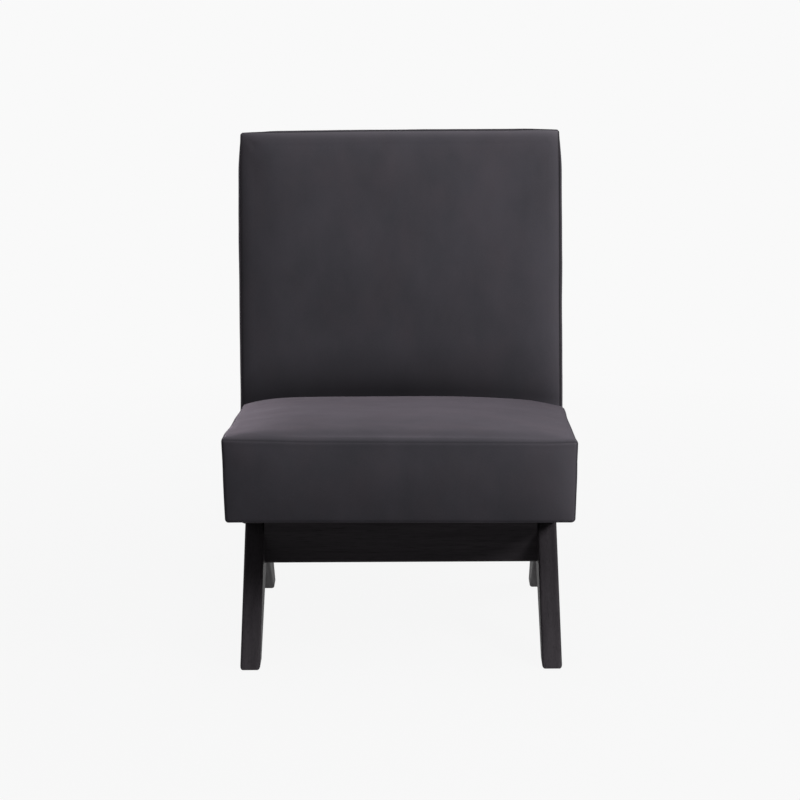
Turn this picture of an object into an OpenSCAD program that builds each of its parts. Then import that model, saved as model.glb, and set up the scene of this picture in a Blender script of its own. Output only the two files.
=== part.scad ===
// Armless lounge chair: a thick upholstered seat and a raked upholstered back
// on a dark hardwood base. Each side of the base is an inverted V of two
// tapered legs under a bearer, and an apron and a cross rail join the sides.
// Lengths are millimetres and angles are degrees. X runs across the chair, the
// front faces -Y and Z is up. The origin lies on the floor, below the middle
// of the chair's overall width and depth.

/* [Seat] */
// Width of the seat at its widest line
seat_width = 574; // [540:1:600]
// Depth of the seat's underside, from its front face to the back
seat_depth = 480; // [450:1:510]
// Height of the seat box at its edges
seat_height = 134; // [126:1:144]
// Height of the seat's lower front edge above the floor
seat_clearance = 251; // [242:1:262]
// Slope of the seat, down towards the rear
seat_tilt = 4.9; // [3.5:0.1:6]
// Rise of the seat's middle above its edges
seat_crown = 15; // [8:1:20]
// Rounding of the seat's upper edges
seat_edge_radius = 9; // [7:1:12]
// How much narrower each side of the seat is at the bottom
seat_taper = 2.5; // [1:0.5:4]
// Height of the seat frame's rails
seat_rail_height = 70; // [64:1:76]

/* [Back] */
// How far each side of the back stands out past the seat, at its widest line
back_overhang = 5; // [0:1:8]
// Length of the back along its slope, from the seat's underside to its top
back_length = 633; // [603:1:663]
// Thickness of the back, from the front panel's plane to the outside panel
back_thickness = 98; // [92:1:106]
// Rake of the back from upright
back_rake = 13; // [11:0.5:15]
// Swell of the back's front panel
back_crown = 11; // [5:1:15]
// Rounding of the back's front edges
back_edge_radius = 10; // [8:1:13]
// How far the front edges of the back are drawn in from its widest line
back_seam_inset = 5; // [3:0.5:6]
// How much narrower each side of the back is at its rear edge
back_taper = 2.5; // [1:0.5:4]
// Depth of padding in front of the back's frame
back_pad_depth = 50; // [46:1:54]

/* [Upholstery] */
// Radius of the covers' corners, seen square on to their panels
cover_corner_radius = 9; // [7:1:12]
// Thickness of the covers' cloth with its backing
cloth_thickness = 1.2; // [0.8:0.1:1.5]
// Thickness of the wadding under the covers
wadding_thickness = 8; // [5:0.5:10]
// Thickness of the open cloth over the webbing
deck_cloth_thickness = 0.8; // [0.6:0.1:1.2]
// Width of a webbing strap
strap_width = 50; // [40:1:56]
// Thickness of a webbing strap
strap_thickness = 1.2; // [1:0.1:1.6]
// Width of cloth turned under the seat's rails and round the back's frame
turn_in = 24; // [20:1:26]

/* [Frame] */
// Thickness of the boards of the seat frame and the back frame
board = 26; // [24:1:28]
// Height of the back frame's cross rails
back_rail_height = 56; // [48:1:60]
// Width of the blocks that take the back's bolts
bolt_block_width = 90; // [80:1:100]
// Leg of a triangular corner block
corner_block_leg = 44; // [38:1:48]
// Height of a corner block
corner_block_height = 46; // [40:1:52]

/* [Base] */
// How far the legs' outer faces stand in from the seat's widest line
base_inset = 22.5; // [20:0.5:25]
// Depth from the front of the front feet to the rear of the rear feet
base_depth = 560; // [540:1:580]
// How far the front feet stand behind the seat's front
foot_setback = 2; // [0:1:10]
// Thickness of the legs, seen from the front
leg_thickness = 33; // [30:1:36]
// Length of a foot, seen from the side
foot_length = 52; // [46:1:58]
// Slant of a leg's outer edge from upright
leg_outer_slant = 47; // [46:0.5:48]
// Slant of a leg's inner edge from upright
leg_inner_slant = 60; // [59:0.5:61]
// Rounding of the legs' edges
leg_arris = 4.5; // [2:0.5:6]
// Height of the bearers
bearer_height = 32; // [30:1:35]
// Depth of the front apron's face behind the seat's front
apron_setback = 200; // [192:1:206]
// Height of the front apron's lower edge above the floor
apron_clearance = 131; // [124:1:136]
// Thickness of the apron and the cross rail
apron_thickness = 22; // [20:1:25]

/* [Hardware] */
// Diameter of the dowels in the base
base_dowel_diameter = 10; // [8:0.5:11]
// Length of the dowels in the base
base_dowel_length = 40; // [34:1:44]
// Diameter of the dowels in the seat and back frames
frame_dowel_diameter = 8; // [6:0.5:9]
// Length of the dowels in the seat and back frames
frame_dowel_length = 38; // [32:1:42]
// Shank diameter of the back's bolts
bolt_diameter = 8; // [6:0.5:9]
// Shank diameter of the screws that hold the base
base_screw_diameter = 6; // [5:0.5:7]
// How far those screws reach into the seat frame
base_screw_reach = 46; // [38:1:52]
// Shank diameter of the corner blocks' screws
block_screw_diameter = 4.5; // [3.5:0.5:5]
// Diameter of a foot glide
glide_diameter = 22; // [18:1:25]
// How far a glide stands out of its foot
glide_proud = 2; // [1.5:0.5:3]

/* [Hidden] */

// Clearances and overruns
soft_gap = 0.3;
bore_gap = 0.1;
cut_overrun = 5;
round_faces = 24;

// Angle of the back to the square of the seat
back_angle = back_rake - seat_tilt;

// Seat frame: levels above the seat's underside and insets from its widest line
seat_half = seat_width / 2;
pad_inset = cloth_thickness + soft_gap + wadding_thickness + soft_gap;
rail_bottom = cloth_thickness;
rail_top = rail_bottom + seat_rail_height;
rail_outer_x = seat_half - pad_inset - seat_taper;
rail_inner_x = rail_outer_x - board;
front_rail_rear = pad_inset + seat_taper + board;
rear_inset = cloth_thickness + soft_gap + cloth_thickness + soft_gap;
staple_crown = 0.6;
deck_level = rail_top + strap_thickness + strap_thickness + staple_crown;
foam_level = deck_level + deck_cloth_thickness;

// Back frame: depths behind the plane of the front panel
back_half = seat_half + back_overhang;
strip_thickness = 0.8;
cover_depth = back_thickness - cloth_thickness - strip_thickness;
frame_rear = cover_depth - cloth_thickness;
upright_outer_x = back_half - back_seam_inset - cloth_thickness - 2 * soft_gap;
upright_inner_x = upright_outer_x - board;
upright_top = back_length - back_seam_inset - cloth_thickness - 2 * soft_gap;
seat_line = seat_height + seat_crown;
pad_start = seat_line - seat_crown / 3;
back_strap_front = back_pad_depth - 2 * strap_thickness - staple_crown;
back_deck_front = back_strap_front - deck_cloth_thickness;

// Base
base_half = seat_half - base_inset;
leg_inner_x = base_half - leg_thickness;
leg_middle_x = base_half - leg_thickness / 2;
foot_front = foot_setback;
foot_rear = foot_setback + base_depth;
base_middle = foot_setback + base_depth / 2;
bearer_drop = bearer_height / cos(seat_tilt);
apron_middle = apron_setback + apron_thickness / 2;
cross_rail_middle = 2 * base_middle - apron_middle;
dowel_margin = 1.7 * base_dowel_diameter;

// The chair's own frame, and the frames of the seat and of the back
module standing() {
    translate([0, -(overall_front + overall_rear) / 2, 0]) children();
}
module in_seat() {
    standing() translate([0, 0, seat_clearance]) rotate([-seat_tilt, 0, 0]) children();
}
module on_back_plane() {
    translate([0, seat_depth + soft_gap, 0]) rotate([-back_angle, 0, 0]) children();
}
module in_back() {
    in_seat() on_back_plane() children();
}
module both_sides() {
    children();
    mirror([1, 0, 0]) children();
}
// A profile drawn in depth and height, carried across from one x to another
module across(from_x, to_x) {
    translate([from_x, 0, 0]) rotate([90, 0, 90]) linear_extrude(to_x - from_x) children();
}
// A box between two corners
module box(low, high) {
    translate(low) cube(high - low);
}
// Cylinders from a start point along one axis
module along_x(start, length, diameter) {
    translate(start) rotate([0, 90, 0]) cylinder(h = length, d = diameter, $fn = round_faces);
}
module along_y(start, length, diameter) {
    translate(start) rotate([-90, 0, 0]) cylinder(h = length, d = diameter, $fn = round_faces);
}
module along_z(start, length, diameter) {
    translate(start) cylinder(h = length, d = diameter, $fn = round_faces);
}

// Soft forms. Each is a skin of rings, from the crown's middle out to the edge,
// down the walls and, on a shell, back up inside to the middle.
corner_steps = 2;
side_steps = 10;
least_radius = 1;
crown_power = 2.6;
outer_ring_shares = [0.3, 0.55, 0.8];
inner_ring_shares = [0.4, 0.75];
outer_edge_steps = 3;
inner_edge_steps = 2;
lower_edge_radius = 4;
// Walls of the covers: heights as shares of the wall under the rounded edge, and
// how far they are drawn in as shares of the taper or of the front seam's inset
seat_wall_height_shares = [0.6, 0.3];
seat_wall_inset_shares = [0, 0.4];
back_wall_height_shares = [0.94, 0.62, 0.3];
back_wall_inset_shares = [0.5, 0, 0.1];
// The seat's crown at its front edge, and how far back it is full, as shares
front_crown_share = 0.15;
crown_run_share = 0.42;
// The back's swell at its top edge, and how far up it is full, as shares. It
// starts one facet above the seat, so that the cover is flat behind the seat.
top_swell_share = 0.3;
swell_run_share = 0.3;
swell_start = seat_line + back_length / side_steps;
// Play between a crowned cover and the wadding under it
crown_play = 1;

function smooth(q) = let (c = min(max(q, 0), 1)) c * c * (3 - 2 * c);

// Height of the seat's crown above the plane of its edges
function seat_rise(x, v) =
    seat_crown * (1 - pow(min(abs(x) / seat_half, 1), crown_power))
    * (front_crown_share + (1 - front_crown_share) * smooth(v / (seat_depth * crown_run_share)));

// Swell of the back's front panel, which eases towards the top
function back_rise(x, v) =
    back_crown * (1 - pow(min(abs(x) / back_half, 1), crown_power))
    * smooth((v - swell_start) / (back_length * swell_run_share))
    * (1 - (1 - top_swell_share) * pow(max(2 * v / back_length - 1, 0), 2));

// The seat's rear leans with the back, so its depth stretches with height
function seat_place(x, v, h) = [x, v * (1 + h * tan(back_angle) / seat_depth), h];

// The back's lower end follows the seat's underside. Its heights run forwards.
function back_place(x, v, h) =
    let (t = cover_depth - h)
    [x, t, back_length - (back_length - v) * (1 - t * tan(back_angle) / back_length)];

// A rounded rectangle's points, the same number whatever its size
function corner_arc(x, y, r, from) = [
    for (i = [0 : corner_steps]) let (a = from + 90 * i / corner_steps)
        [x + r * cos(a), y + r * sin(a)]
];
function between(p, q) = [for (i = [1 : side_steps - 1]) p + (q - p) * i / side_steps];
function corner_arcs(half, low, high, r) = [
    corner_arc(half - r, low + r, r, -90),
    corner_arc(half - r, high - r, r, 0),
    corner_arc(r - half, high - r, r, 90),
    corner_arc(r - half, low + r, r, 180)
];
function outline(half, low, high, r) =
    let (arcs = corner_arcs(half, low, high, r))
    [for (k = [0 : 3]) each concat(arcs[k], between(arcs[k][corner_steps], arcs[(k + 1) % 4][0]))];

// A form is its half width, its low and high ends, how much of the sides' inset
// each end takes, and whether it belongs to the seat
seat_form = [seat_half, 0, seat_depth, 1, 0.3, true];
back_form = [back_half, 0, back_length, 0.3, 1, false];
back_pad_form = [back_half, pad_start, back_length, 0.3, 1, false];

function form_middle(form) = (form[1] + form[2]) / 2;
function rise(form, x, v) = form[5] ? seat_rise(x, v) : back_rise(x, v);
function place(form, x, v, h) = form[5] ? seat_place(x, v, h) : back_place(x, v, h);

// A level is how far its ring is drawn in, the ring's offset under the cover at
// the sides and at the high end, its height, whether it rises with the crown,
// and its size about the form's middle
function level(drawn, offset, end_offset, height, lifted = false, size = 1) =
    [drawn, offset, end_offset, height, lifted, size];
function ring(form, at) =
    let (edge = outline(
        form[0] - at[0] - at[1],
        form[1] + at[0] * form[3] + at[1],
        form[2] - at[0] * form[4] - at[2],
        max(cover_corner_radius - at[1], least_radius)
    ))
    [
        for (p = edge)
            let (x = p[0] * at[5], v = form_middle(form) + (p[1] - form_middle(form)) * at[5])
            place(form, x, v, at[3] + (at[4] ? rise(form, x, v) : 0))
    ];
function middle_point(form, height, lifted) =
    let (v = form_middle(form))
    place(form, 0, v, height + (lifted ? rise(form, 0, v) : 0));

// Levels of the crown and the rounded edge of a form, at an offset under its cover
function crown_levels(shares, base, offset, end_offset, top, radius, steps) =
    let (r = max(radius - offset, least_radius))
    concat(
        [for (share = shares) level(base + r, offset, end_offset, top - offset, true, share)],
        [
            for (i = [steps : -1 : 0]) let (a = 90 * i / steps)
                level(base + r * (1 - cos(a)), offset, end_offset, top - offset - r * (1 - sin(a)), true)
        ]
    );
// Levels of a cover's outer wall, from shares of an inset and of the wall's height
function wall_levels(inset, inset_shares, wall, height_shares) =
    [for (i = [0 : len(height_shares) - 1]) level(inset * inset_shares[i], 0, 0, wall * height_shares[i])];
function backwards(list) = [for (i = [len(list) - 1 : -1 : 0]) list[i]];

// A closed skin through rings of equal length, with a point at each end
module skin(first, rings, last) {
    count = len(rings[0]);
    total = len(rings);
    end_ring = 1 + (total - 1) * count;
    polyhedron(
        points = concat([first], [for (r = rings) each r], [last]),
        faces = concat(
            [for (i = [0 : count - 1]) [0, 1 + (i + 1) % count, 1 + i]],
            [
                for (k = [0 : total - 2], i = [0 : count - 1])
                    let (a = 1 + k * count + i, b = 1 + k * count + (i + 1) % count)
                    each [[a, b, b + count], [a, b + count, a + count]]
            ],
            [for (i = [0 : count - 1]) [end_ring + count, end_ring + i, end_ring + (i + 1) % count]]
        ),
        convexity = 8
    );
}
module form_skin(form, top, levels, end_height, end_lifted) {
    skin(
        middle_point(form, top, true),
        [for (at = levels) ring(form, at)],
        middle_point(form, end_height, end_lifted)
    );
}

// Offsets of the soft layers under the covers
wadding_offset = cloth_thickness + soft_gap;
foam_offset = wadding_offset + wadding_thickness + soft_gap;
seat_wall = seat_height - seat_edge_radius;
back_wall = cover_depth - back_edge_radius;

// The chair's foremost point, on a foot or on the seat's front wall, and its
// rearmost, at the top of the outside panel. The origin lies midway.
panel_inset = back_taper + 0.15 * turn_in;
panel_high = back_length - panel_inset;
function wall_front(inset, height) = inset * cos(seat_tilt) + height * sin(seat_tilt);
overall_front = min(concat(
    [foot_front, wall_front(seat_taper, lower_edge_radius)],
    [
        for (i = [0 : len(seat_wall_height_shares) - 1])
            wall_front(seat_taper * seat_wall_inset_shares[i], seat_wall * seat_wall_height_shares[i])
    ]
));
overall_rear = (seat_depth + soft_gap) * cos(seat_tilt) + back_thickness * cos(back_rake)
    + panel_high * sin(back_rake);

// The back's bolts, in the back's frame: where they stand, and how they are stacked
bolt_hole_diameter = bolt_diameter + 0.1 * bolt_diameter;
washer_diameter = 2.4 * bolt_diameter;
washer_thickness = 0.2 * bolt_diameter;
bolt_head_diameter = 1.6 * bolt_diameter;
bolt_head_height = 0.65 * bolt_diameter;
nut_barrel_diameter = 1.3 * bolt_diameter;
nut_barrel_length = 1.2 * bolt_diameter;
nut_flange_diameter = 2.7 * bolt_diameter;
nut_flange_thickness = 0.2 * bolt_diameter;
bolt_recess = 0.7 * board;
rail_front_face = -(soft_gap + rear_inset) - board;
bolt_seat = frame_rear - bolt_recess;
bolt_x = rail_inner_x - corner_block_leg - 0.9 * nut_flange_diameter;
bottom_rail_low = frame_rear * tan(back_angle) + wadding_offset;
bolt_height_shares = [0.25, 0.7];
bolt_tip = rail_front_face - nut_flange_thickness - washer_thickness;

// Runs its children at each bolt, with the bolt along the depth
module at_bolts() {
    in_back() both_sides() for (share = bolt_height_shares)
        translate([bolt_x, 0, bottom_rail_low + share * back_rail_height]) children();
}
module bolt_holes() {
    at_bolts() along_y([0, bolt_tip, 0], bolt_seat - bolt_tip + cut_overrun, bolt_hole_diameter);
}

// How far behind the seat's front a plane parallel to the back lies, at a height
// above the seat's underside
function behind(t, height) = seat_depth + soft_gap + t / cos(back_angle) + height * tan(back_angle);

// Base

// Height of the bearers' underside, and of the seat's underside, at a depth
function seat_under(depth) = seat_clearance - depth * tan(seat_tilt);
function leg_top(depth) = seat_under(depth) - bearer_drop;

// A leg seen from the side. It leans towards the base's middle: toward is 1 for
// a front leg and -1 for a rear one. Exposed edges are drawn in by inset, and
// the edges that meet the other leg and the bearer are not.
function leg_points(foot, toward, inset) =
    let (
        outer = tan(leg_outer_slant),
        inner = tan(leg_inner_slant),
        fall = toward * tan(seat_tilt),
        start = inset / cos(leg_outer_slant),
        stop = foot_length - inset / cos(leg_inner_slant),
        span = base_depth / 2,
        apex = (leg_top(foot) - fall * (start - outer * glide_proud)) / (1 + fall * outer)
    )
    [
        for (p = [
            [start + outer * inset, glide_proud + inset],
            [stop + inner * inset, glide_proud + inset],
            [span, glide_proud + (span - stop) / inner],
            [span, leg_top(base_middle)],
            [start + outer * (apex - glide_proud), apex]
        ]) [foot + toward * p[0], p[1]]
    ];
arris_steps = 4;
crotch_height = glide_proud + (base_depth / 2 - foot_length) / tan(leg_inner_slant);
joint_dowel_heights = [crotch_height + dowel_margin, leg_top(base_middle) - dowel_margin];

// Heights of the dowels at the end of a rail that stands at a depth: two in the
// leg and one in the bearer
function leg_upper(depth) = min(
    glide_proud + min(depth - foot_front, foot_rear - depth) / tan(leg_outer_slant),
    leg_top(depth)
);
function rail_dowel_heights(depth) = [
    apron_clearance + dowel_margin,
    leg_upper(depth) - dowel_margin,
    leg_top(depth) + bearer_drop / 2
];

// Dowels of the right side, as pins and as the bores that take them
module joint_dowel_set(diameter) {
    standing() for (z = joint_dowel_heights)
        along_y([leg_middle_x, base_middle - base_dowel_length / 2, z], base_dowel_length, diameter);
}
bearer_dowel_spread = 1.1 * base_dowel_length;
module bearer_dowel_set(diameter) {
    in_seat() for (way = [-1, 1])
        along_z(
            [leg_middle_x, base_middle / cos(seat_tilt) + way * bearer_dowel_spread,
                -bearer_height - base_dowel_length / 2],
            base_dowel_length,
            diameter
        );
}
module rail_dowel_set(depth, diameter) {
    standing() for (z = rail_dowel_heights(depth))
        along_x([leg_inner_x - base_dowel_length / 2, depth, z], base_dowel_length, diameter);
}
base_bore = base_dowel_diameter + bore_gap;
frame_bore = frame_dowel_diameter + bore_gap;

// Glides: a disc let into the foot, with a nail
glide_let_in = 2;
nail_diameter = 3;
nail_length = 16;
module at_feet() {
    standing() both_sides() for (y = [foot_front + foot_length / 2, foot_rear - foot_length / 2])
        translate([leg_middle_x, y, 0]) children();
}
module foot_glides() {
    color("#2a2a2c") at_feet() {
        along_z([0, 0, 0], glide_proud + glide_let_in, glide_diameter);
        along_z([0, 0, 0], glide_proud + glide_let_in + nail_length, nail_diameter);
    }
}
module glide_bores() {
    at_feet() {
        along_z([0, 0, -cut_overrun], cut_overrun + glide_proud + glide_let_in, glide_diameter + bore_gap);
        along_z([0, 0, 0], glide_proud + glide_let_in + nail_length + bore_gap, nail_diameter + bore_gap);
    }
}

module right_leg(foot, toward) {
    color("#2b2423") difference() {
        standing() hull() for (turn = [0 : 90 / arris_steps : 90])
            across(
                leg_inner_x + leg_arris * (1 - cos(turn)),
                base_half - leg_arris * (1 - cos(turn))
            ) polygon(leg_points(foot, toward, leg_arris * (1 - sin(turn))));
        joint_dowel_set(base_bore);
        bearer_dowel_set(base_bore);
        rail_dowel_set(toward > 0 ? apron_middle : cross_rail_middle, base_bore);
        glide_bores();
    }
}
module right_front_leg() {
    right_leg(foot_front, 1);
}
module right_rear_leg() {
    right_leg(foot_rear, -1);
}
module left_front_leg() {
    mirror([1, 0, 0]) right_front_leg();
}
module left_rear_leg() {
    mirror([1, 0, 0]) right_rear_leg();
}

// Bearers: rails under the seat, thinned towards their front and rear ends
bearer_front = seat_depth / 8;
bearer_rear = seat_depth + back_thickness / 2;
bearer_full_front = apron_setback - apron_thickness / 4;
bearer_full_rear = seat_depth;
bearer_nose = 0.22 * bearer_height;
base_screw_head_seat = 0.25 * bearer_height;
base_screw_shares = [0.23, 0.32, 0.915];
base_screw_x = rail_inner_x + 0.27 * board;
base_washer_diameter = 2.3 * base_screw_diameter;
base_washer_thickness = 0.2 * base_screw_diameter;
base_head_diameter = 1.8 * base_screw_diameter;
base_head_height = 0.7 * base_screw_diameter;

module at_base_screws() {
    in_seat() both_sides() for (share = base_screw_shares)
        translate([base_screw_x, seat_depth * share, -base_screw_head_seat]) children();
}
base_screw_rise = base_screw_head_seat + rail_bottom + base_screw_reach;
base_shank = base_washer_thickness + base_screw_rise;
module base_screw_holes(diameter) {
    at_base_screws() along_z([0, 0, -bearer_height], bearer_height + base_screw_rise, diameter);
}
module right_bearer() {
    color("#2b2423") difference() {
        in_seat() across(leg_inner_x, base_half) polygon([
            [bearer_front, 0],
            [bearer_rear, 0],
            [bearer_rear, -bearer_nose],
            [bearer_full_rear, -bearer_height],
            [bearer_full_front, -bearer_height],
            [bearer_front, -bearer_nose]
        ]);
        bearer_dowel_set(base_bore);
        rail_dowel_set(apron_middle, base_bore);
        rail_dowel_set(cross_rail_middle, base_bore);
        base_screw_holes(1.1 * base_screw_diameter);
        at_base_screws() along_z([0, 0, -bearer_height], bearer_height, 1.15 * base_washer_diameter);
    }
}
module left_bearer() {
    mirror([1, 0, 0]) right_bearer();
}

// A board between the sides of the base, with its lower edges eased
eased_edge = apron_thickness / 8;
module cross_board(middle) {
    front = middle - apron_thickness / 2;
    rear = middle + apron_thickness / 2;
    color("#231d1d") difference() {
        standing() across(-leg_inner_x, leg_inner_x) polygon([
            [front, apron_clearance + eased_edge],
            [front + eased_edge, apron_clearance],
            [rear - eased_edge, apron_clearance],
            [rear, apron_clearance + eased_edge],
            [rear, seat_under(rear)],
            [front, seat_under(front)]
        ]);
        both_sides() rail_dowel_set(middle, base_bore);
    }
}
module front_apron() {
    cross_board(apron_middle);
}
module rear_cross_rail() {
    cross_board(cross_rail_middle);
}

module leg_joint_dowels() {
    color("#c9a873") both_sides() joint_dowel_set(base_dowel_diameter);
}
module bearer_dowels() {
    color("#c9a873") both_sides() bearer_dowel_set(base_dowel_diameter);
}
module apron_dowels() {
    color("#c9a873") both_sides() rail_dowel_set(apron_middle, base_dowel_diameter);
}
module cross_rail_dowels() {
    color("#c9a873") both_sides() rail_dowel_set(cross_rail_middle, base_dowel_diameter);
}
module base_screws() {
    color("#8d8d90") at_base_screws() {
        along_z([0, 0, -base_washer_thickness], base_shank, base_screw_diameter);
        along_z([0, 0, -base_washer_thickness - base_head_height], base_head_height, base_head_diameter);
    }
}
module base_screw_washers() {
    color("#8d8d90") at_base_screws() difference() {
        along_z([0, 0, -base_washer_thickness], base_washer_thickness, base_washer_diameter);
        along_z([0, 0, -cut_overrun], 2 * cut_overrun, base_screw_diameter + bore_gap);
    }
}

// Staples: a crown that lies on cloth or webbing and two legs in the wood below
staple_width = 9;
staple_wire = 1.2;
staple_reach = 6;
module staple_legs() {
    for (x = [-staple_width / 2, staple_width / 2 - staple_wire])
        box([x, -staple_wire / 2, -staple_reach], [x + staple_wire, staple_wire / 2, 0]);
}
module staple() {
    staple_legs();
    box([-staple_width / 2, -staple_wire / 2, 0], [staple_width / 2, staple_wire / 2, staple_crown]);
}

// Seat frame

frame_dowel_x = rail_inner_x + 0.64 * board;
front_rail_front = front_rail_rear - board;
rail_middle_height = (rail_bottom + rail_top) / 2;
frame_dowel_heights = [
    rail_bottom + 0.26 * seat_rail_height,
    rail_bottom + 0.74 * seat_rail_height
];
module front_corner_dowels(diameter) {
    in_seat() both_sides() for (w = frame_dowel_heights)
        along_y([frame_dowel_x, front_rail_rear - frame_dowel_length / 2, w], frame_dowel_length, diameter);
}
module rear_corner_dowels(diameter) {
    in_back() both_sides() for (s = frame_dowel_heights)
        along_y([frame_dowel_x, rail_front_face - frame_dowel_length / 2, s], frame_dowel_length, diameter);
}

// Corner blocks and the screw through each, towards the corner
block_screw_length = 1.15 * corner_block_leg;
block_head_height = 0.5 * block_screw_diameter;
block_screw_x = rail_inner_x - corner_block_leg / 2;
function rear_corner(height) = behind(rail_front_face, height);
module at_block_screws() {
    in_seat() both_sides() {
        translate([block_screw_x, front_rail_rear + corner_block_leg / 2, rail_middle_height])
            rotate([0, 90, -45]) children();
        translate([
            block_screw_x,
            rear_corner(rail_middle_height) - corner_block_leg / 2,
            rail_middle_height
        ]) rotate([0, 90, 45]) children();
    }
}
module block_screw_holes() {
    at_block_screws() along_z(
        [0, 0, -cut_overrun],
        cut_overrun + block_screw_length,
        block_screw_diameter + bore_gap
    );
}
module corner_block_screws() {
    color("#8d8d90") at_block_screws() {
        along_z([0, 0, 0], block_screw_length, block_screw_diameter);
        along_z([0, 0, -block_head_height], block_head_height, 2 * block_screw_diameter);
    }
}
module seat_corner_blocks() {
    reach = rear_corner(rail_top);
    color("#c9a873") difference() {
        in_seat() both_sides() translate([0, 0, rail_middle_height - corner_block_height / 2])
            linear_extrude(corner_block_height) {
                polygon([
                    [rail_inner_x, front_rail_rear],
                    [rail_inner_x, front_rail_rear + corner_block_leg],
                    [rail_inner_x - corner_block_leg, front_rail_rear]
                ]);
                polygon([
                    [rail_inner_x, reach],
                    [rail_inner_x, rear_corner(rail_middle_height) - corner_block_leg],
                    [rail_inner_x - corner_block_leg + rear_corner(rail_middle_height) - reach, reach]
                ]);
            }
        in_back() box([-seat_width, rail_front_face, -back_length], [seat_width, back_length, back_length]);
        block_screw_holes();
    }
}

// Webbing on the seat frame, woven from two layers of straps
long_strap_count = 5;
cross_strap_count = 4;
strap_end = board / 6;
strap_start = front_rail_front + strap_end;
strap_stop = behind(-(soft_gap + rear_inset), rail_top) - strap_end;
function long_strap_x(i) = (i - (long_strap_count - 1) / 2) * 2 * rail_inner_x / long_strap_count;
function cross_strap_y(i) =
    front_rail_rear + (i + 0.5) * (rear_corner(rail_top) - front_rail_rear) / cross_strap_count;

module long_strap_staples() {
    ends = [front_rail_rear - board / 2, rear_corner(rail_top) + board / 2];
    in_seat() for (i = [0 : long_strap_count - 1], end = ends)
        translate([long_strap_x(i), end, rail_top + strap_thickness]) children();
}
module cross_strap_staples() {
    in_seat() both_sides() for (i = [0 : cross_strap_count - 1])
        translate([rail_inner_x + board / 2, cross_strap_y(i), rail_top + 2 * strap_thickness])
            rotate([0, 0, 90]) children();
}
module seat_long_webbing() {
    color("#6b4f33") difference() {
        in_seat() for (i = [0 : long_strap_count - 1])
            box(
                [long_strap_x(i) - strap_width / 2, strap_start, rail_top],
                [long_strap_x(i) + strap_width / 2, strap_stop, rail_top + strap_thickness]
            );
        long_strap_staples() staple_legs();
    }
}
module seat_cross_webbing() {
    color("#6b4f33") difference() {
        in_seat() for (i = [0 : cross_strap_count - 1])
            translate([0, cross_strap_y(i), rail_top + strap_thickness]) box(
                [strap_end - rail_outer_x, -strap_width / 2, 0],
                [rail_outer_x - strap_end, strap_width / 2, strap_thickness]
            );
        cross_strap_staples() staple_legs();
    }
}
module seat_webbing_staples() {
    color("#8d8d90") {
        long_strap_staples() staple();
        cross_strap_staples() staple();
    }
}

// Dust cover: a sheet under the seat frame, inside the cover's turned-in edge
rear_turn_in = turn_in / 3;
dust_half = seat_half - turn_in - soft_gap;
dust_front = turn_in + soft_gap;
dust_rear = seat_depth - rear_turn_in - soft_gap;
dust_staple_inset = turn_in / 4;
dust_staple_count = 6;
side_staple_count = 2;
module at_dust_staples() {
    in_seat() {
        for (i = [0 : dust_staple_count - 1])
            let (x = (i - (dust_staple_count - 1) / 2) * 2 * leg_inner_x / dust_staple_count)
            for (y = [dust_front + dust_staple_inset, dust_rear - dust_staple_inset])
                translate([x, y, 0]) mirror([0, 0, 1]) children();
        both_sides() for (i = [0 : side_staple_count - 1])
            translate([
                dust_half - dust_staple_inset,
                dust_front + (i + 0.5) * (bearer_front - dust_front) / side_staple_count,
                0
            ]) rotate([0, 0, 90]) mirror([0, 0, 1]) children();
    }
}
module seat_dust_cover() {
    color("#17171a") difference() {
        in_seat() box([-dust_half, dust_front, 0], [dust_half, dust_rear, cloth_thickness]);
        base_screw_holes(1.1 * base_screw_diameter);
        at_dust_staples() staple_legs();
    }
}
module dust_cover_staples() {
    color("#8d8d90") at_dust_staples() staple();
}

module seat_front_rail() {
    color("#d3b685") difference() {
        in_seat() box(
            [-rail_outer_x, front_rail_front, rail_bottom],
            [rail_outer_x, front_rail_rear, rail_top]
        );
        front_corner_dowels(frame_bore);
        block_screw_holes();
        long_strap_staples() staple_legs();
        at_dust_staples() staple_legs();
    }
}
module seat_rear_rail() {
    color("#d3b685") difference() {
        in_seat() across(-rail_outer_x, rail_outer_x) polygon([
            [rear_corner(rail_bottom), rail_bottom],
            [behind(rail_front_face + board, rail_bottom), rail_bottom],
            [behind(rail_front_face + board, rail_top), rail_top],
            [rear_corner(rail_top), rail_top]
        ]);
        rear_corner_dowels(frame_bore);
        block_screw_holes();
        bolt_holes();
        at_bolts() along_y(
            [0, rail_front_face - cut_overrun, 0],
            cut_overrun + nut_barrel_length,
            nut_barrel_diameter + bore_gap
        );
        long_strap_staples() staple_legs();
        at_dust_staples() staple_legs();
    }
}
module seat_right_rail() {
    color("#d3b685") difference() {
        in_seat() across(rail_inner_x, rail_outer_x) polygon([
            [front_rail_rear, rail_bottom],
            [rear_corner(rail_bottom), rail_bottom],
            [rear_corner(rail_top), rail_top],
            [front_rail_rear, rail_top]
        ]);
        front_corner_dowels(frame_bore);
        rear_corner_dowels(frame_bore);
        block_screw_holes();
        base_screw_holes(base_screw_diameter + bore_gap);
        cross_strap_staples() staple_legs();
        at_dust_staples() staple_legs();
    }
}
module seat_left_rail() {
    mirror([1, 0, 0]) seat_right_rail();
}
module seat_frame_dowels() {
    color("#c9a873") {
        front_corner_dowels(frame_dowel_diameter);
        rear_corner_dowels(frame_dowel_diameter);
    }
}

// Seat upholstery

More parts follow.
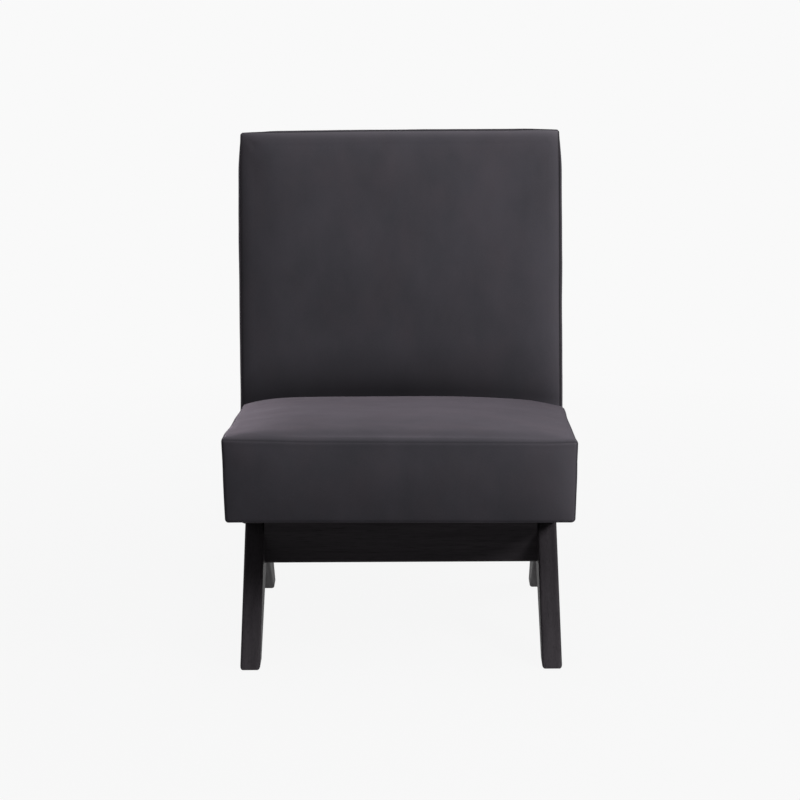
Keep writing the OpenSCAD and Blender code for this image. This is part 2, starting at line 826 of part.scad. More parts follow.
module seat_deck_cloth() {
    color("#b49a6c") in_seat() box(
        [strap_end - rail_outer_x, strap_start, deck_level],
        [rail_outer_x - strap_end, strap_stop, foam_level]
    );
}
module seat_foam() {
    color("#e8dcae") in_seat() form_skin(
        seat_form,
        seat_height - foam_offset,
        concat(
            crown_levels(
                inner_ring_shares, 0, foam_offset, rear_inset,
                seat_height, seat_edge_radius, inner_edge_steps
            ),
            [level(seat_taper, foam_offset, rear_inset, foam_level)]
        ),
        foam_level,
        false
    );
}
module seat_wadding() {
    inner = wadding_offset + wadding_thickness;
    rear_inner = wadding_offset + cloth_thickness;
    color("#f1efe9") difference() {
        in_seat() form_skin(
            seat_form,
            seat_height - wadding_offset,
            concat(
                crown_levels(
                    inner_ring_shares, 0, wadding_offset, wadding_offset,
                    seat_height, seat_edge_radius, inner_edge_steps
                ),
                [
                    level(seat_taper, wadding_offset, wadding_offset, wadding_offset + lower_edge_radius),
                    level(seat_taper, inner, rear_inner, wadding_offset + lower_edge_radius)
                ],
                backwards(crown_levels(
                    inner_ring_shares, 0, inner, rear_inner,
                    seat_height, seat_edge_radius, inner_edge_steps
                ))
            ),
            seat_height - inner,
            true
        );
        bolt_holes();
    }
}
module seat_cover() {
    color("#37343a") difference() {
        in_seat() form_skin(
            seat_form,
            seat_height,
            concat(
                crown_levels(outer_ring_shares, 0, 0, 0, seat_height, seat_edge_radius, outer_edge_steps),
                wall_levels(seat_taper, seat_wall_inset_shares, seat_wall, seat_wall_height_shares),
                [
                    level(seat_taper, 0, 0, lower_edge_radius),
                    level(seat_taper + lower_edge_radius / 2, 0, 0, 0),
                    level(0, turn_in, rear_turn_in, 0),
                    level(0, turn_in, rear_turn_in, cloth_thickness),
                    level(seat_taper, cloth_thickness, cloth_thickness, cloth_thickness)
                ],
                backwards(crown_levels(
                    inner_ring_shares, 0, cloth_thickness, cloth_thickness,
                    seat_height, seat_edge_radius, inner_edge_steps
                ))
            ),
            seat_height - cloth_thickness,
            true
        );
        bolt_holes();
    }
}

// Back frame

top_rail_low = upright_top - back_rail_height;
tacking_rail_low = pad_start + wadding_offset;
back_dowel_shares = [0.25, 0.75];
// The back's cross rails, as the low edge and the front face of each
back_rails = [
    [top_rail_low, back_pad_depth],
    [tacking_rail_low, back_pad_depth],
    [bottom_rail_low, frame_rear - board]
];
module back_rail_dowels(diameter) {
    start_x = upright_inner_x - frame_dowel_length / 2;
    in_back() both_sides() for (rail = back_rails, share = back_dowel_shares)
        along_x(
            [start_x, rail[1] + board / 2, rail[0] + share * back_rail_height],
            frame_dowel_length,
            diameter
        );
}
module back_rail(low, front) {
    in_back() box(
        [-upright_inner_x, front, low],
        [upright_inner_x, front + board, low + back_rail_height]
    );
}

// Webbing on the back frame
back_strap_count = 4;
back_long_strap_count = 4;
back_strap_pitch = (top_rail_low - tacking_rail_low - back_rail_height) / back_strap_count;
function back_strap_height(i) = tacking_rail_low + back_rail_height + (i + 0.5) * back_strap_pitch;
function back_long_strap_x(i) =
    (i - (back_long_strap_count - 1) / 2) * 2 * upright_inner_x / back_long_strap_count;
module back_cross_strap_staples() {
    in_back() both_sides() for (i = [0 : back_strap_count - 1])
        translate([upright_inner_x + board / 2, back_pad_depth - strap_thickness, back_strap_height(i)])
            rotate([90, 90, 0]) children();
}
module back_long_strap_staples() {
    in_back() for (i = [0 : back_long_strap_count - 1], low = [top_rail_low, tacking_rail_low])
        translate([back_long_strap_x(i), back_pad_depth - 2 * strap_thickness, low + back_rail_height / 2])
            rotate([90, 0, 0]) children();
}
module back_cross_webbing() {
    color("#6b4f33") difference() {
        in_back() for (i = [0 : back_strap_count - 1])
            translate([0, back_pad_depth - strap_thickness, back_strap_height(i)]) box(
                [strap_end - upright_outer_x, 0, -strap_width / 2],
                [upright_outer_x - strap_end, strap_thickness, strap_width / 2]
            );
        back_cross_strap_staples() staple_legs();
    }
}
module back_long_webbing() {
    color("#6b4f33") difference() {
        in_back() for (i = [0 : back_long_strap_count - 1])
            box(
                [back_long_strap_x(i) - strap_width / 2, back_pad_depth - 2 * strap_thickness,
                    tacking_rail_low + strap_end],
                [back_long_strap_x(i) + strap_width / 2, back_pad_depth - strap_thickness,
                    upright_top - strap_end]
            );
        back_long_strap_staples() staple_legs();
    }
}
module back_webbing_staples() {
    color("#8d8d90") {
        back_cross_strap_staples() staple();
        back_long_strap_staples() staple();
    }
}

module back_right_upright() {
    color("#d3b685") difference() {
        in_back() across(upright_inner_x, upright_outer_x) polygon([
            [back_pad_depth, back_pad_depth * tan(back_angle) + wadding_offset],
            [frame_rear, frame_rear * tan(back_angle) + wadding_offset],
            [frame_rear, upright_top],
            [back_pad_depth, upright_top]
        ]);
        back_rail_dowels(frame_bore);
        back_cross_strap_staples() staple_legs();
    }
}
module back_left_upright() {
    mirror([1, 0, 0]) back_right_upright();
}
module back_top_rail() {
    color("#d3b685") difference() {
        back_rail(top_rail_low, back_pad_depth);
        back_rail_dowels(frame_bore);
        back_long_strap_staples() staple_legs();
    }
}
module back_tacking_rail() {
    color("#d3b685") difference() {
        back_rail(tacking_rail_low, back_pad_depth);
        back_rail_dowels(frame_bore);
        back_long_strap_staples() staple_legs();
    }
}
module back_bottom_rail() {
    color("#d3b685") difference() {
        back_rail(bottom_rail_low, frame_rear - board);
        back_rail_dowels(frame_bore);
        bolt_holes();
        at_bolts() along_y([0, bolt_seat, 0], bolt_recess + cut_overrun, 1.15 * washer_diameter);
    }
}
module back_bolt_blocks() {
    block_rear = frame_rear - board;
    block_low = wadding_offset + back_edge_radius;
    color("#c9a873") difference() {
        in_back() both_sides() across(upright_inner_x - bolt_block_width, upright_inner_x) polygon([
            [wadding_offset, wadding_offset * tan(back_angle) + block_low],
            [block_rear, block_rear * tan(back_angle) + block_low],
            [block_rear, bottom_rail_low + back_rail_height],
            [wadding_offset, bottom_rail_low + back_rail_height]
        ]);
        bolt_holes();
    }
}
module back_frame_dowels() {
    color("#c9a873") back_rail_dowels(frame_dowel_diameter);
}

// The bolts run forwards from the back's bottom rail to nuts on the seat's rear rail
module back_bolts() {
    color("#8d8d90") at_bolts() {
        along_y([0, bolt_tip, 0], bolt_seat + washer_thickness - bolt_tip, bolt_diameter);
        along_y([0, bolt_seat + washer_thickness, 0], bolt_head_height, bolt_head_diameter);
    }
}
module back_bolt_washers() {
    color("#8d8d90") at_bolts() difference() {
        along_y([0, bolt_seat, 0], washer_thickness, washer_diameter);
        along_y([0, bolt_seat - cut_overrun, 0], 2 * cut_overrun, bolt_hole_diameter);
    }
}
module back_tee_nuts() {
    start = rail_front_face - nut_flange_thickness;
    length = nut_flange_thickness + nut_barrel_length;
    color("#8d8d90") at_bolts() difference() {
        union() {
            along_y([0, start, 0], nut_flange_thickness, nut_flange_diameter);
            along_y([0, start, 0], length, nut_barrel_diameter);
        }
        along_y([0, start - cut_overrun, 0], length + 2 * cut_overrun, bolt_diameter + bore_gap);
    }
}

// Back upholstery

module back_deck_cloth() {
    color("#b49a6c") in_back() box(
        [strap_end - upright_outer_x, back_deck_front, tacking_rail_low + strap_end],
        [upright_outer_x - strap_end, back_strap_front, upright_top - strap_end]
    );
}
back_pad_top = cover_depth - crown_play;
module back_foam() {
    color("#e8dcae") in_back() form_skin(
        back_pad_form,
        back_pad_top - foam_offset,
        concat(
            crown_levels(
                inner_ring_shares, back_seam_inset, foam_offset, foam_offset,
                back_pad_top, back_edge_radius, inner_edge_steps
            ),
            [level(back_seam_inset, foam_offset, foam_offset, cover_depth - back_deck_front)]
        ),
        cover_depth - back_deck_front,
        false
    );
}
module back_wadding() {
    inner = wadding_offset + wadding_thickness;
    foot = cover_depth - back_deck_front + soft_gap;
    color("#f1efe9") in_back() form_skin(
        back_pad_form,
        back_pad_top - wadding_offset,
        concat(
            crown_levels(
                inner_ring_shares, back_seam_inset, wadding_offset, wadding_offset,
                back_pad_top, back_edge_radius, inner_edge_steps
            ),
            [
                level(back_seam_inset, wadding_offset, wadding_offset, foot),
                level(back_seam_inset, inner, inner, foot)
            ],
            backwards(crown_levels(
                inner_ring_shares, back_seam_inset, inner, inner,
                back_pad_top, back_edge_radius, inner_edge_steps
            ))
        ),
        back_pad_top - inner,
        true
    );
}
module back_cover() {
    color("#37343a") difference() {
        in_back() form_skin(
            back_form,
            cover_depth,
            concat(
                crown_levels(
                    outer_ring_shares, back_seam_inset, 0, 0,
                    cover_depth, back_edge_radius, outer_edge_steps
                ),
                wall_levels(back_seam_inset, back_wall_inset_shares, back_wall, back_wall_height_shares),
                [
                    level(back_taper, 0, 0, 0),
                    level(0, turn_in, turn_in, 0),
                    level(0, turn_in, turn_in, cloth_thickness),
                    level(back_taper, cloth_thickness, cloth_thickness, cloth_thickness)
                ],
                backwards(crown_levels(
                    inner_ring_shares, back_seam_inset, cloth_thickness, cloth_thickness,
                    cover_depth, back_edge_radius, inner_edge_steps
                ))
            ),
            cover_depth - cloth_thickness,
            true
        );
        bolt_holes();
    }
}

// Outside panel of the back, and the strips that stiffen its top and side edges
panel_half = back_half - panel_inset;
panel_low = back_thickness * tan(back_angle) + panel_inset;
strip_width = turn_in / 2;
strip_half = panel_half - panel_inset;
strip_top = panel_high - panel_inset;
module back_outside_panel() {
    color("#37343a") in_back() translate([0, back_thickness, 0]) rotate([90, 0, 0])
        linear_extrude(cloth_thickness) polygon([
            for (arc = corner_arcs(panel_half, panel_low, panel_high, cover_corner_radius / 2)) each arc
        ]);
}
module back_tack_strips() {
    color("#8d8d90") in_back() {
        both_sides() box(
            [strip_half - strip_width, cover_depth, panel_low + panel_inset],
            [strip_half, cover_depth + strip_thickness, strip_top - strip_width]
        );
        box(
            [-strip_half, cover_depth, strip_top - strip_width + soft_gap],
            [strip_half, cover_depth + strip_thickness, strip_top]
        );
    }
}

left_front_leg();
left_rear_leg();
right_front_leg();
right_rear_leg();
left_bearer();
right_bearer();
front_apron();
rear_cross_rail();
leg_joint_dowels();
bearer_dowels();
apron_dowels();
cross_rail_dowels();
foot_glides();
base_screws();
base_screw_washers();
seat_front_rail();
seat_rear_rail();
seat_left_rail();
seat_right_rail();
seat_frame_dowels();
seat_corner_blocks();
corner_block_screws();
seat_long_webbing();
seat_cross_webbing();
seat_webbing_staples();
seat_deck_cloth();
seat_foam();
seat_wadding();
seat_cover();
seat_dust_cover();
dust_cover_staples();
back_left_upright();
back_right_upright();
back_top_rail();
back_tacking_rail();
back_bottom_rail();
back_frame_dowels();
back_bolt_blocks();
back_bolts();
back_bolt_washers();
back_tee_nuts();
back_cross_webbing();
back_long_webbing();
back_webbing_staples();
back_deck_cloth();
back_foam();
back_wadding();
back_cover();
back_tack_strips();
back_outside_panel();
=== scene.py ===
import math

import bpy
import numpy as np
from mathutils import Matrix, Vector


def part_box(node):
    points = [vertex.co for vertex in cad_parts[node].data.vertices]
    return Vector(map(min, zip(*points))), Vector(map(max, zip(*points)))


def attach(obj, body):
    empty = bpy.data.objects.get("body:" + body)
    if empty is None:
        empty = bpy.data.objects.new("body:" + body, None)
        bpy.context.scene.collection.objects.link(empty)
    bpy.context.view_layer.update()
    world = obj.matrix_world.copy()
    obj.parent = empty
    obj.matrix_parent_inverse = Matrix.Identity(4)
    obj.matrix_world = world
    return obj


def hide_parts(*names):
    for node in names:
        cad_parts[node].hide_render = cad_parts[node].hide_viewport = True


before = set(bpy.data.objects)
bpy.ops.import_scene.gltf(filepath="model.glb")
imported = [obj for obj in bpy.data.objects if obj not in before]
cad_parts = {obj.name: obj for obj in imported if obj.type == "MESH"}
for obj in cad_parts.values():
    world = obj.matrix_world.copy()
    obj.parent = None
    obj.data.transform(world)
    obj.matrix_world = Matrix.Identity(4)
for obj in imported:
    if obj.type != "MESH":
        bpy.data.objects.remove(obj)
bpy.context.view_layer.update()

bl_info = {
    "name": "Armless lounge chair",
    "version": (1, 0, 0),
    "blender": (4, 5, 0),
    "location": "3D View > Sidebar > Chair",
    "description": "Covers, padding, springing and finishes of an armless lounge chair",
    "category": "Object",
}

# Lengths are metres and angles radians. X runs across the chair, the front
# faces -Y, Z is up, and the origin lies on the floor below the chair's middle.
BODY = "root"

# Properties


def setting(name, description, default, unit="LENGTH"):
    """A size or an angle for the sidebar, or a colour where its default is text."""
    if isinstance(default, str):
        return bpy.props.StringProperty(name=name, description=description, default=default)
    return bpy.props.FloatProperty(name=name, description=description, default=default, unit=unit)


class ChairShape(bpy.types.PropertyGroup):
    seat_width: setting(
        "Seat width", "Width of the seat at its widest line", 2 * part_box("seat_cover")[1].x)
    seat_depth: setting("Seat depth", "Depth of the seat's underside, up to the back", 0.480)
    seat_height: setting("Seat height", "Height of the seat box at its edges", 0.134)
    seat_clearance: setting(
        "Seat clearance", "Height of the seat's lower front edge above the floor", 0.251)
    seat_tilt: setting(
        "Seat slope", "Slope of the seat, down towards the rear", math.radians(4.9), "ROTATION")
    seat_crown: setting("Seat crown", "Rise of the seat's middle above its edges", 0.015)
    back_width: setting(
        "Back width", "Width of the back at its widest line", 2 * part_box("back_cover")[1].x)
    back_length: setting("Back length", "Length of the back along its slope", 0.633)
    back_thickness: setting(
        "Back thickness", "From the front panel's plane to the outside panel's face", 0.098)
    back_rake: setting("Back rake", "Rake of the back from upright", math.radians(13.0), "ROTATION")
    back_crown: setting("Back swell", "Swell of the back's front panel", 0.011)
    seam_inset: setting(
        "Seam inset", "How far the back's front seam is drawn in from its widest line", 0.0055)
    edge_radius: setting("Edge radius", "Rounding of the seat's rear edges", 0.010)
    seam_depth: setting("Seam depth", "How deep a plain seam sinks into the cover", 0.0006)
    cloth_thickness: setting(
        "Cloth thickness", "Thickness of the velvet with its backing", 0.0012)


class ChairColours(bpy.types.PropertyGroup):
    velvet: setting("Velvet", "Colour of the pile, as sRGB hex", "#363439")
    velvet_shade: setting("Velvet shade", "Colour of the pile where it lies over", "#2E2D31")
    velvet_bloom: setting("Velvet bloom", "Colour of the light on the pile's tips", "#C9BBC9")
    stain: setting("Stain", "Colour of the stained base, as sRGB hex", "#2E2B2E")
    stain_light: setting("Stain on close grain", "Its colour where the grain is close", "#363336")
    beech: setting("Beech", "Colour of the unfinished frame", "#D0B083")


class ChairSet(bpy.types.PropertyGroup):
    backdrop: setting("Backdrop", "Colour that the camera sees behind the chair", "#F9F9F9")
    camera_place: bpy.props.FloatVectorProperty(
        name="Camera place", description="Where the camera stands",
        default=(0.02273, -4.85853, 1.37365), subtype="XYZ", unit="LENGTH")
    camera_pitch: setting("Camera pitch", "How far the camera looks down", 0.20169, "ROTATION")
    camera_yaw: setting("Camera yaw", "How far the camera looks to its left", 0.00483, "ROTATION")
    camera_roll: setting("Camera roll", "Turn of the picture about its middle", -0.00642, "ROTATION")
    focal_length: setting("Focal length", "In millimetres on a 36 mm wide sensor", 128.53, "NONE")


# The two frames


def chair():
    """The chair's sizes, as the sidebar holds them."""
    return bpy.context.scene.chair_shape


def back_lean():
    """How far the back leans from the seat's square: its rake less the slope."""
    return chair().back_rake - chair().seat_tilt


def back_depth():
    """Depth of the back cover, whose rear lies 2 mm ahead of the panel's face."""
    return chair().back_thickness - 0.002


def seat_to_world(x, u, w):
    """Seat frame to the chair's: u runs back along the underside and w stands
    square on it. Both turn by the seat's slope about its lower front edge."""
    c = chair()
    cos, sin = math.cos(c.seat_tilt), math.sin(c.seat_tilt)
    return np.column_stack([x, u * cos + w * sin - MIDDLE, c.seat_clearance - u * sin + w * cos])


def back_to_world(x, t, s):
    """Back frame to the chair's: t is the depth behind the front panel's plane
    and s runs up it. It leans from the seat's square by the back's lean."""
    cos, sin = math.cos(back_lean()), math.sin(back_lean())
    u = chair().seat_depth + JOIN_GAP + t * cos + s * sin
    return seat_to_world(x, u, s * cos - t * sin)


# From the seat's lower front edge: to the front feet, and to the chair's middle
FOOT_SETBACK = 0.002
MIDDLE = FOOT_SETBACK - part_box("left_front_leg")[0].y

# Surfaces


def smooth(q):
    """From 0 to 1 with level ends: 3 q^2 - 2 q^3, with q held between 0 and 1."""
    q = np.clip(q, 0, 1)
    return q * q * (3 - 2 * q)


def waves(points, lengths, seed):
    """Even, seeded unevenness between about -1 and 1: a mean of plane waves of
    the given wavelengths, each with its own direction and start."""
    draw = np.random.default_rng(seed)
    points = np.asarray(points, float).reshape(len(points), -1)
    total = np.zeros(len(points))
    for length in lengths:
        way = draw.normal(size=(6, points.shape[1]))
        way /= np.linalg.norm(way, axis=1, keepdims=True)
        start = draw.uniform(0, 2 * math.pi, 6)
        total += np.sin(points @ way.T * (2 * math.pi / length) + start).sum(1) / 6
    return total / math.sqrt(len(lengths)) * 1.6


def edge_lines(pitch, low, high, low_radius, high_radius, extra=()):
    """Grid lines along one side of a box. Over a rounded edge they stand at
    radius * tan(angle), which spaces them evenly on the arc."""
    share = np.tan(np.linspace(0, math.pi / 4, 5))
    count = max(2, round((high - low - low_radius - high_radius) / pitch))
    lines = np.concatenate([
        low + low_radius * (1 - share),
        np.linspace(low + low_radius, high - high_radius, count + 1),
        high - high_radius * (1 - share),
        list(extra),
    ])
    lines = np.unique(np.round(lines, 6))
    return lines[np.concatenate([[True], np.diff(lines) > 1e-4])]


def box_skin(lines, opening=None):
    """The grid on a box's six faces, corners shared, faces outwards, and which
    quads lie on its high z face. opening holds the low and the high corner, in
    x and y, of what the low z face leaves out."""
    count = np.array([len(a) for a in lines])
    step = np.array([count[1] * count[2], count[2], 1])
    faces, on_panel = [], []
    for axis in range(3):
        across, along = (axis + 1) % 3, (axis + 2) % 3
        i, j = np.meshgrid(np.arange(count[across] - 1), np.arange(count[along] - 1), indexing="ij")
        for end in (0, 1):
            corners = [(i, j), (i + 1, j), (i + 1, j + 1), (i, j + 1)]
            quad = np.stack([
                a * step[across] + b * step[along] + end * (count[axis] - 1) * step[axis]
                for a, b in corners[::1 if end else -1]
            ], -1).reshape(-1, 4)
            if opening and (axis, end) == (2, 0):
                centres = grid_points(quad, lines, step).mean(1)[:, :2]
                quad = quad[~((centres > opening[0]) & (centres < opening[1])).all(1)]
            faces.append(quad)
            on_panel.append(np.full(len(quad), (axis, end) == (2, 1)))
    faces = np.concatenate(faces)
    used, faces_on_used = np.unique(faces, return_inverse=True)
    return grid_points(used, lines, step), faces_on_used.reshape(-1, 4), np.concatenate(on_panel)


def grid_points(index, lines, step):
    """Where the points with these numbers stand on a grid of three axes."""
    i, rest = np.divmod(index, step[0])
    j, k = np.divmod(rest, step[1])
    return np.stack([lines[0][i], lines[1][j], lines[2][k]], -1)


def rounded(points, low, high, low_radius, high_radius):
    """Points of a box's faces on the same box with rounded edges: each is set
    off from its nearest point of the inner box by the radius of its side."""
    inner = np.clip(points, low + low_radius, high - high_radius)
    reach = np.where(points < inner, low_radius, high_radius)
    away = (points - inner) / reach
    return inner + reach * away / np.linalg.norm(away, axis=1, keepdims=True)


def shaped_box(low, high, low_radius, high_radius, pitch, shape, extra=((), (), ()), opening=None):
    """A box's skin with rounded edges, put through shape. extra are further grid
    lines along each axis. opening insets what the low z face leaves out from
    its low and its high corner. Gives the plain box's points, the shaped ones,
    the faces, and which of them lie on the high z face."""
    lines = [edge_lines(pitch, *side) for side in zip(low, high, low_radius, high_radius, extra)]
    gap = opening and (low[:2] + opening[0], high[:2] - opening[1])
    points, faces, panel = box_skin(lines, gap)
    return points, shape(*rounded(points, low, high, low_radius, high_radius).T), faces, panel


def seam_distance(points, low, high, radius):
    """Distance along the skin to the nearest seam. The seams are the box's edges
    but those of its low z face. Near an edge the grid's own distance d stands
    for an arc of radius * (45 degrees - atan(1 - d / radius))."""
    x = np.minimum(points[:, 0] - low[0], high[0] - points[:, 0])
    y = np.minimum(points[:, 1] - low[1], high[1] - points[:, 1])
    d = np.sort(np.column_stack([x, y, high[2] - points[:, 2]]), axis=1)[:, 1]
    quarter = math.pi / 4
    return np.where(d < radius, radius * (quarter - np.arctan(1 - np.minimum(d, radius) / radius)),
                    d - radius + radius * quarter)


def new_piece(name, points, faces, known=None, flat=False):
    """A mesh object from points and faces, shaded smooth or flat. What is known
    of each point becomes an attribute."""
    mesh = bpy.data.meshes.new(name)
    mesh.from_pydata(points.tolist(), [], faces if isinstance(faces, list) else faces.tolist())
    mesh.polygons.foreach_set("use_smooth", np.full(len(mesh.polygons), not flat))
    for key, values in (known or {}).items():
        mesh.attributes.new(key, "FLOAT", "POINT").data.foreach_set("value", values.astype(np.float32))
    mesh.update()
    piece = bpy.data.objects.new(name, mesh)
    bpy.context.scene.collection.objects.link(piece)
    return piece


def read(items, field="co", width=3):
    """One field of each item of a mesh, as rows of an array."""
    values = np.zeros(len(items) * width)
    items.foreach_get(field, values)
    return values.reshape(-1, width)


def write(piece, points):
    """Puts a piece's points in new places."""
    piece.data.vertices.foreach_set("co", np.asarray(points, float).ravel())
    piece.data.update()


def keep_modifiers(piece):
    """Makes the evaluated mesh the piece's own and clears its modifiers."""
    graph = bpy.context.evaluated_depsgraph_get()
    mesh = bpy.data.meshes.new_from_object(
        piece.evaluated_get(graph), preserve_all_data_layers=True, depsgraph=graph)
    piece.modifiers.clear()
    piece.data = mesh


def subdivide(piece):
    """Splits each face in four and smooths the mesh once."""
    finer = piece.modifiers.new("finer", "SUBSURF")
    finer.levels = finer.render_levels = 1
    keep_modifiers(piece)


def wall(piece, thickness, offset=-1):
    """Gives a skin its thickness: inwards, or to both sides with an offset of 0."""
    solid = piece.modifiers.new("thickness", "SOLIDIFY")
    solid.thickness, solid.offset = thickness, offset


def inflate(piece, free, cap, frames=20):
    """Lets the stuffing press a cover out: cloth with pressure and no gravity,
    pinned where free is 0, for some frames. The move is capped softly, as
    cap * tanh(move / cap) * free."""
    rest = read(piece.data.vertices)
    pins = piece.vertex_groups.new(name="pins")
    pins.add(np.flatnonzero(free < 0.02).tolist(), 1.0, "REPLACE")
    cloth = piece.modifiers.new("cloth", "CLOTH")
    settings = cloth.settings
    settings.quality = 6
    settings.mass = 0.25
    settings.tension_stiffness = settings.compression_stiffness = 22
    settings.shear_stiffness = 12
    settings.bending_stiffness = 3
    settings.use_pressure = True
    settings.uniform_pressure_force = 4
    settings.vertex_group_mass = "pins"
    settings.effector_weights.gravity = 0
    cloth.collision_settings.use_collision = False
    scene = bpy.context.scene
    for number in range(1, frames + 1):
        scene.frame_set(number)
    graph = bpy.context.evaluated_depsgraph_get()
    move = read(piece.evaluated_get(graph).data.vertices) - rest
    piece.modifiers.clear()
    piece.vertex_groups.clear()
    scene.frame_set(1)
    size = np.linalg.norm(move, axis=1, keepdims=True)
    write(piece, rest + move * cap * np.tanh(size / cap) / np.maximum(size, 1e-9) * free[:, None])


def sew(piece, seam_depth, wander):
    """Draws the seams in and leaves the small unevenness of hand work: a groove
    of depth * exp(-(d / width)^2), a low roll beside it, puckers that die out
    from the seam, and slow waves over the panels. All go along the normal."""
    mesh = piece.data
    points, normal = read(mesh.vertices), read(mesh.vertex_normals, "vector")
    d, along, free = [
        read(mesh.attributes[key].data, "value", 1)[:, 0] for key in ("seam", "along", "free")]
    roll = 0.00010 * (d / 0.0035) * np.exp(1 - d / 0.0035)
    pucker = 0.00022 * np.exp(-d / 0.012) * smooth(d / 0.003)
    pucker = pucker * waves(along[:, None], (0.014, 0.023, 0.037), 11)
    slow = wander * waves(points, (0.19, 0.12, 0.085), 5) + 0.25 * wander * waves(points, (0.05, 0.034), 8)
    move = roll + (pucker + slow) * free - seam_depth * np.exp(-((d / 0.0010) ** 2))
    write(piece, points + normal * move[:, None])


def ready(piece, node):
    """Hangs a finished piece on the chair's body in place of its CAD node."""
    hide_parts(node)
    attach(piece, BODY)
    return piece


# Materials


def colour(text):
    """An sRGB hex value as linear red, green, blue and full alpha."""
    parts = np.array([int(text[i:i + 2], 16) for i in (1, 3, 5)]) / 255
    linear = np.where(parts <= 0.04045, parts / 12.92, ((parts + 0.055) / 1.055) ** 2.4)
    return (*linear.tolist(), 1.0)


def add_node(tree, kind, inputs=None, **settings):
    """Adds a node with its settings. inputs maps a socket's name or number to a
    value, to an output, or to a node whose first output is linked to it."""
    node = tree.nodes.new(kind)
    for key, value in settings.items():
        setattr(node, key, value)
    for key, value in (inputs or {}).items():
        if isinstance(value, bpy.types.Node):
            value = value.outputs[0]
        if isinstance(value, bpy.types.NodeSocket):
            tree.links.new(value, node.inputs[key])
        else:
            node.inputs[key].default_value = value
    return node


def make_material(name, build, *values):
    """A material whose surface is the shader that build adds to its node tree."""
    material = bpy.data.materials.new(name)
    material.use_nodes = True
    tree = material.node_tree
    tree.nodes.clear()
    add_node(tree, "ShaderNodeOutputMaterial", {"Surface": build(tree, *values)})
    return material


def measured(tree, size, turn=(0, 0, 0)):
    """Object coordinates turned by turn and divided by size, three lengths in
    millimetres."""
    place = add_node(tree, "ShaderNodeTexCoord").outputs["Object"]
    scale = [length / 1000 for length in size]
    return add_node(tree, "ShaderNodeMapping", {
        "Vector": place, "Rotation": turn, "Scale": scale}, vector_type="TEXTURE")


def layer(tree, under, tint, size, limits, most=1.0, turn=(0, 0, 0), detail=2.0, roughness=0.5):
    """Tints a colour in uneven marks of a real size in millimetres: noise on
    measured coordinates. The tint starts where the noise passes the first limit
    and reaches its most at the second. Gives the colour and the noise."""
    noise = add_node(tree, "ShaderNodeTexNoise", {
        "Vector": measured(tree, size, turn), "Scale": 1.0, "Detail": detail, "Roughness": roughness})
    amount = add_node(tree, "ShaderNodeMapRange", {
        "Value": noise, "From Min": limits[0], "From Max": limits[1], "To Max": most})
    under = colour(under) if isinstance(under, str) else under
    mixed = add_node(tree, "ShaderNodeMix", {0: amount, 6: under, 7: colour(tint)}, data_type="RGBA")
    return mixed.outputs[2], noise


def brushed_velvet(tree, bloom):
    """Cotton velvet, woven and cropped: dark at its root, pale bloom at a low
    angle, and soft marks where the pile was stroked. One attribute of the
    cover darkens it beside a seam and paints shade where one cushion meets
    the other and where little light falls; another paints a highlight, paler,
    over a stretched edge where the light falls."""
    c = bpy.context.scene.chair_colours
    # Strokes of a hand, about 80 mm across the chair and 150 mm up it
    shade, strokes = layer(
        tree, c.velvet_shade, c.velvet, (80, 90, 150), (0.22, 0.74), detail=3, roughness=0.55)
    shade, _ = layer(tree, shade, "#3B3539", (70, 60, 90), (0.45, 0.75), 0.3)
    # Real pile is about 0.1 mm across. It is drawn ten times as coarse to show.
    shade, pile = layer(tree, shade, "#49474D", (1.6, 1.1, 1.1), (0.3, 0.7), 0.14, roughness=0.6)
    # A painted highlight, paler, and painted shade with the darkening beside the seams, as the cover's
    # attributes give them
    for known, tint in (("open", "#625E64"), ("seam_and_painted_shade", "#121113")):
        amount = add_node(tree, "ShaderNodeAttribute", attribute_name=known).outputs["Fac"]
        shade = add_node(tree, "ShaderNodeMix", {
            0: amount, 6: shade, 7: colour(tint)}, data_type="RGBA").outputs[2]
    roughness = add_node(tree, "ShaderNodeMapRange", {
        "Value": strokes, "From Min": 0.3, "From Max": 0.7, "To Min": 0.88, "To Max": 0.78})
    lying = add_node(tree, "ShaderNodeBump", {"Height": strokes, "Distance": 0.0010, "Strength": 0.18})
    relief = add_node(tree, "ShaderNodeBump", {
        "Height": pile, "Distance": 0.00022, "Strength": 0.5, "Normal": lying})
    return add_node(tree, "ShaderNodeBsdfPrincipled", {
        "Base Color": shade, "Roughness": roughness, "Normal": relief, "Specular IOR Level": 0.05,
        "Sheen Weight": bloom, "Sheen Roughness": 0.3, "Sheen Tint": colour(c.velvet_bloom)})


def stained_hardwood(tree, turn):
    """Hardwood with a near-black stain under dull lacquer: fine grain along Z
    after the turn, and open pores a little darker."""
    c = bpy.context.scene.chair_colours
    # Growth bands 9 mm apart. Pores are 0.1 mm across, drawn wider to show.
    shade, bands = layer(
        tree, c.stain, c.stain_light, (9, 9, 200), (0.32, 0.7), turn=turn, detail=3, roughness=0.55)
    shade, pores = layer(tree, shade, "#1B191B", (0.9, 0.9, 30), (0.52, 0.7), 0.5, turn)
    roughness = add_node(tree, "ShaderNodeMapRange", {
        "Value": bands, "From Min": 0.3, "From Max": 0.7, "To Min": 0.52, "To Max": 0.42})
    relief = add_node(tree, "ShaderNodeBump", {"Height": pores, "Distance": 0.00012, "Strength": 0.35})
    return add_node(tree, "ShaderNodeBsdfPrincipled", {
        "Base Color": shade, "Roughness": roughness, "Normal": relief, "Specular IOR Level": 0.03})


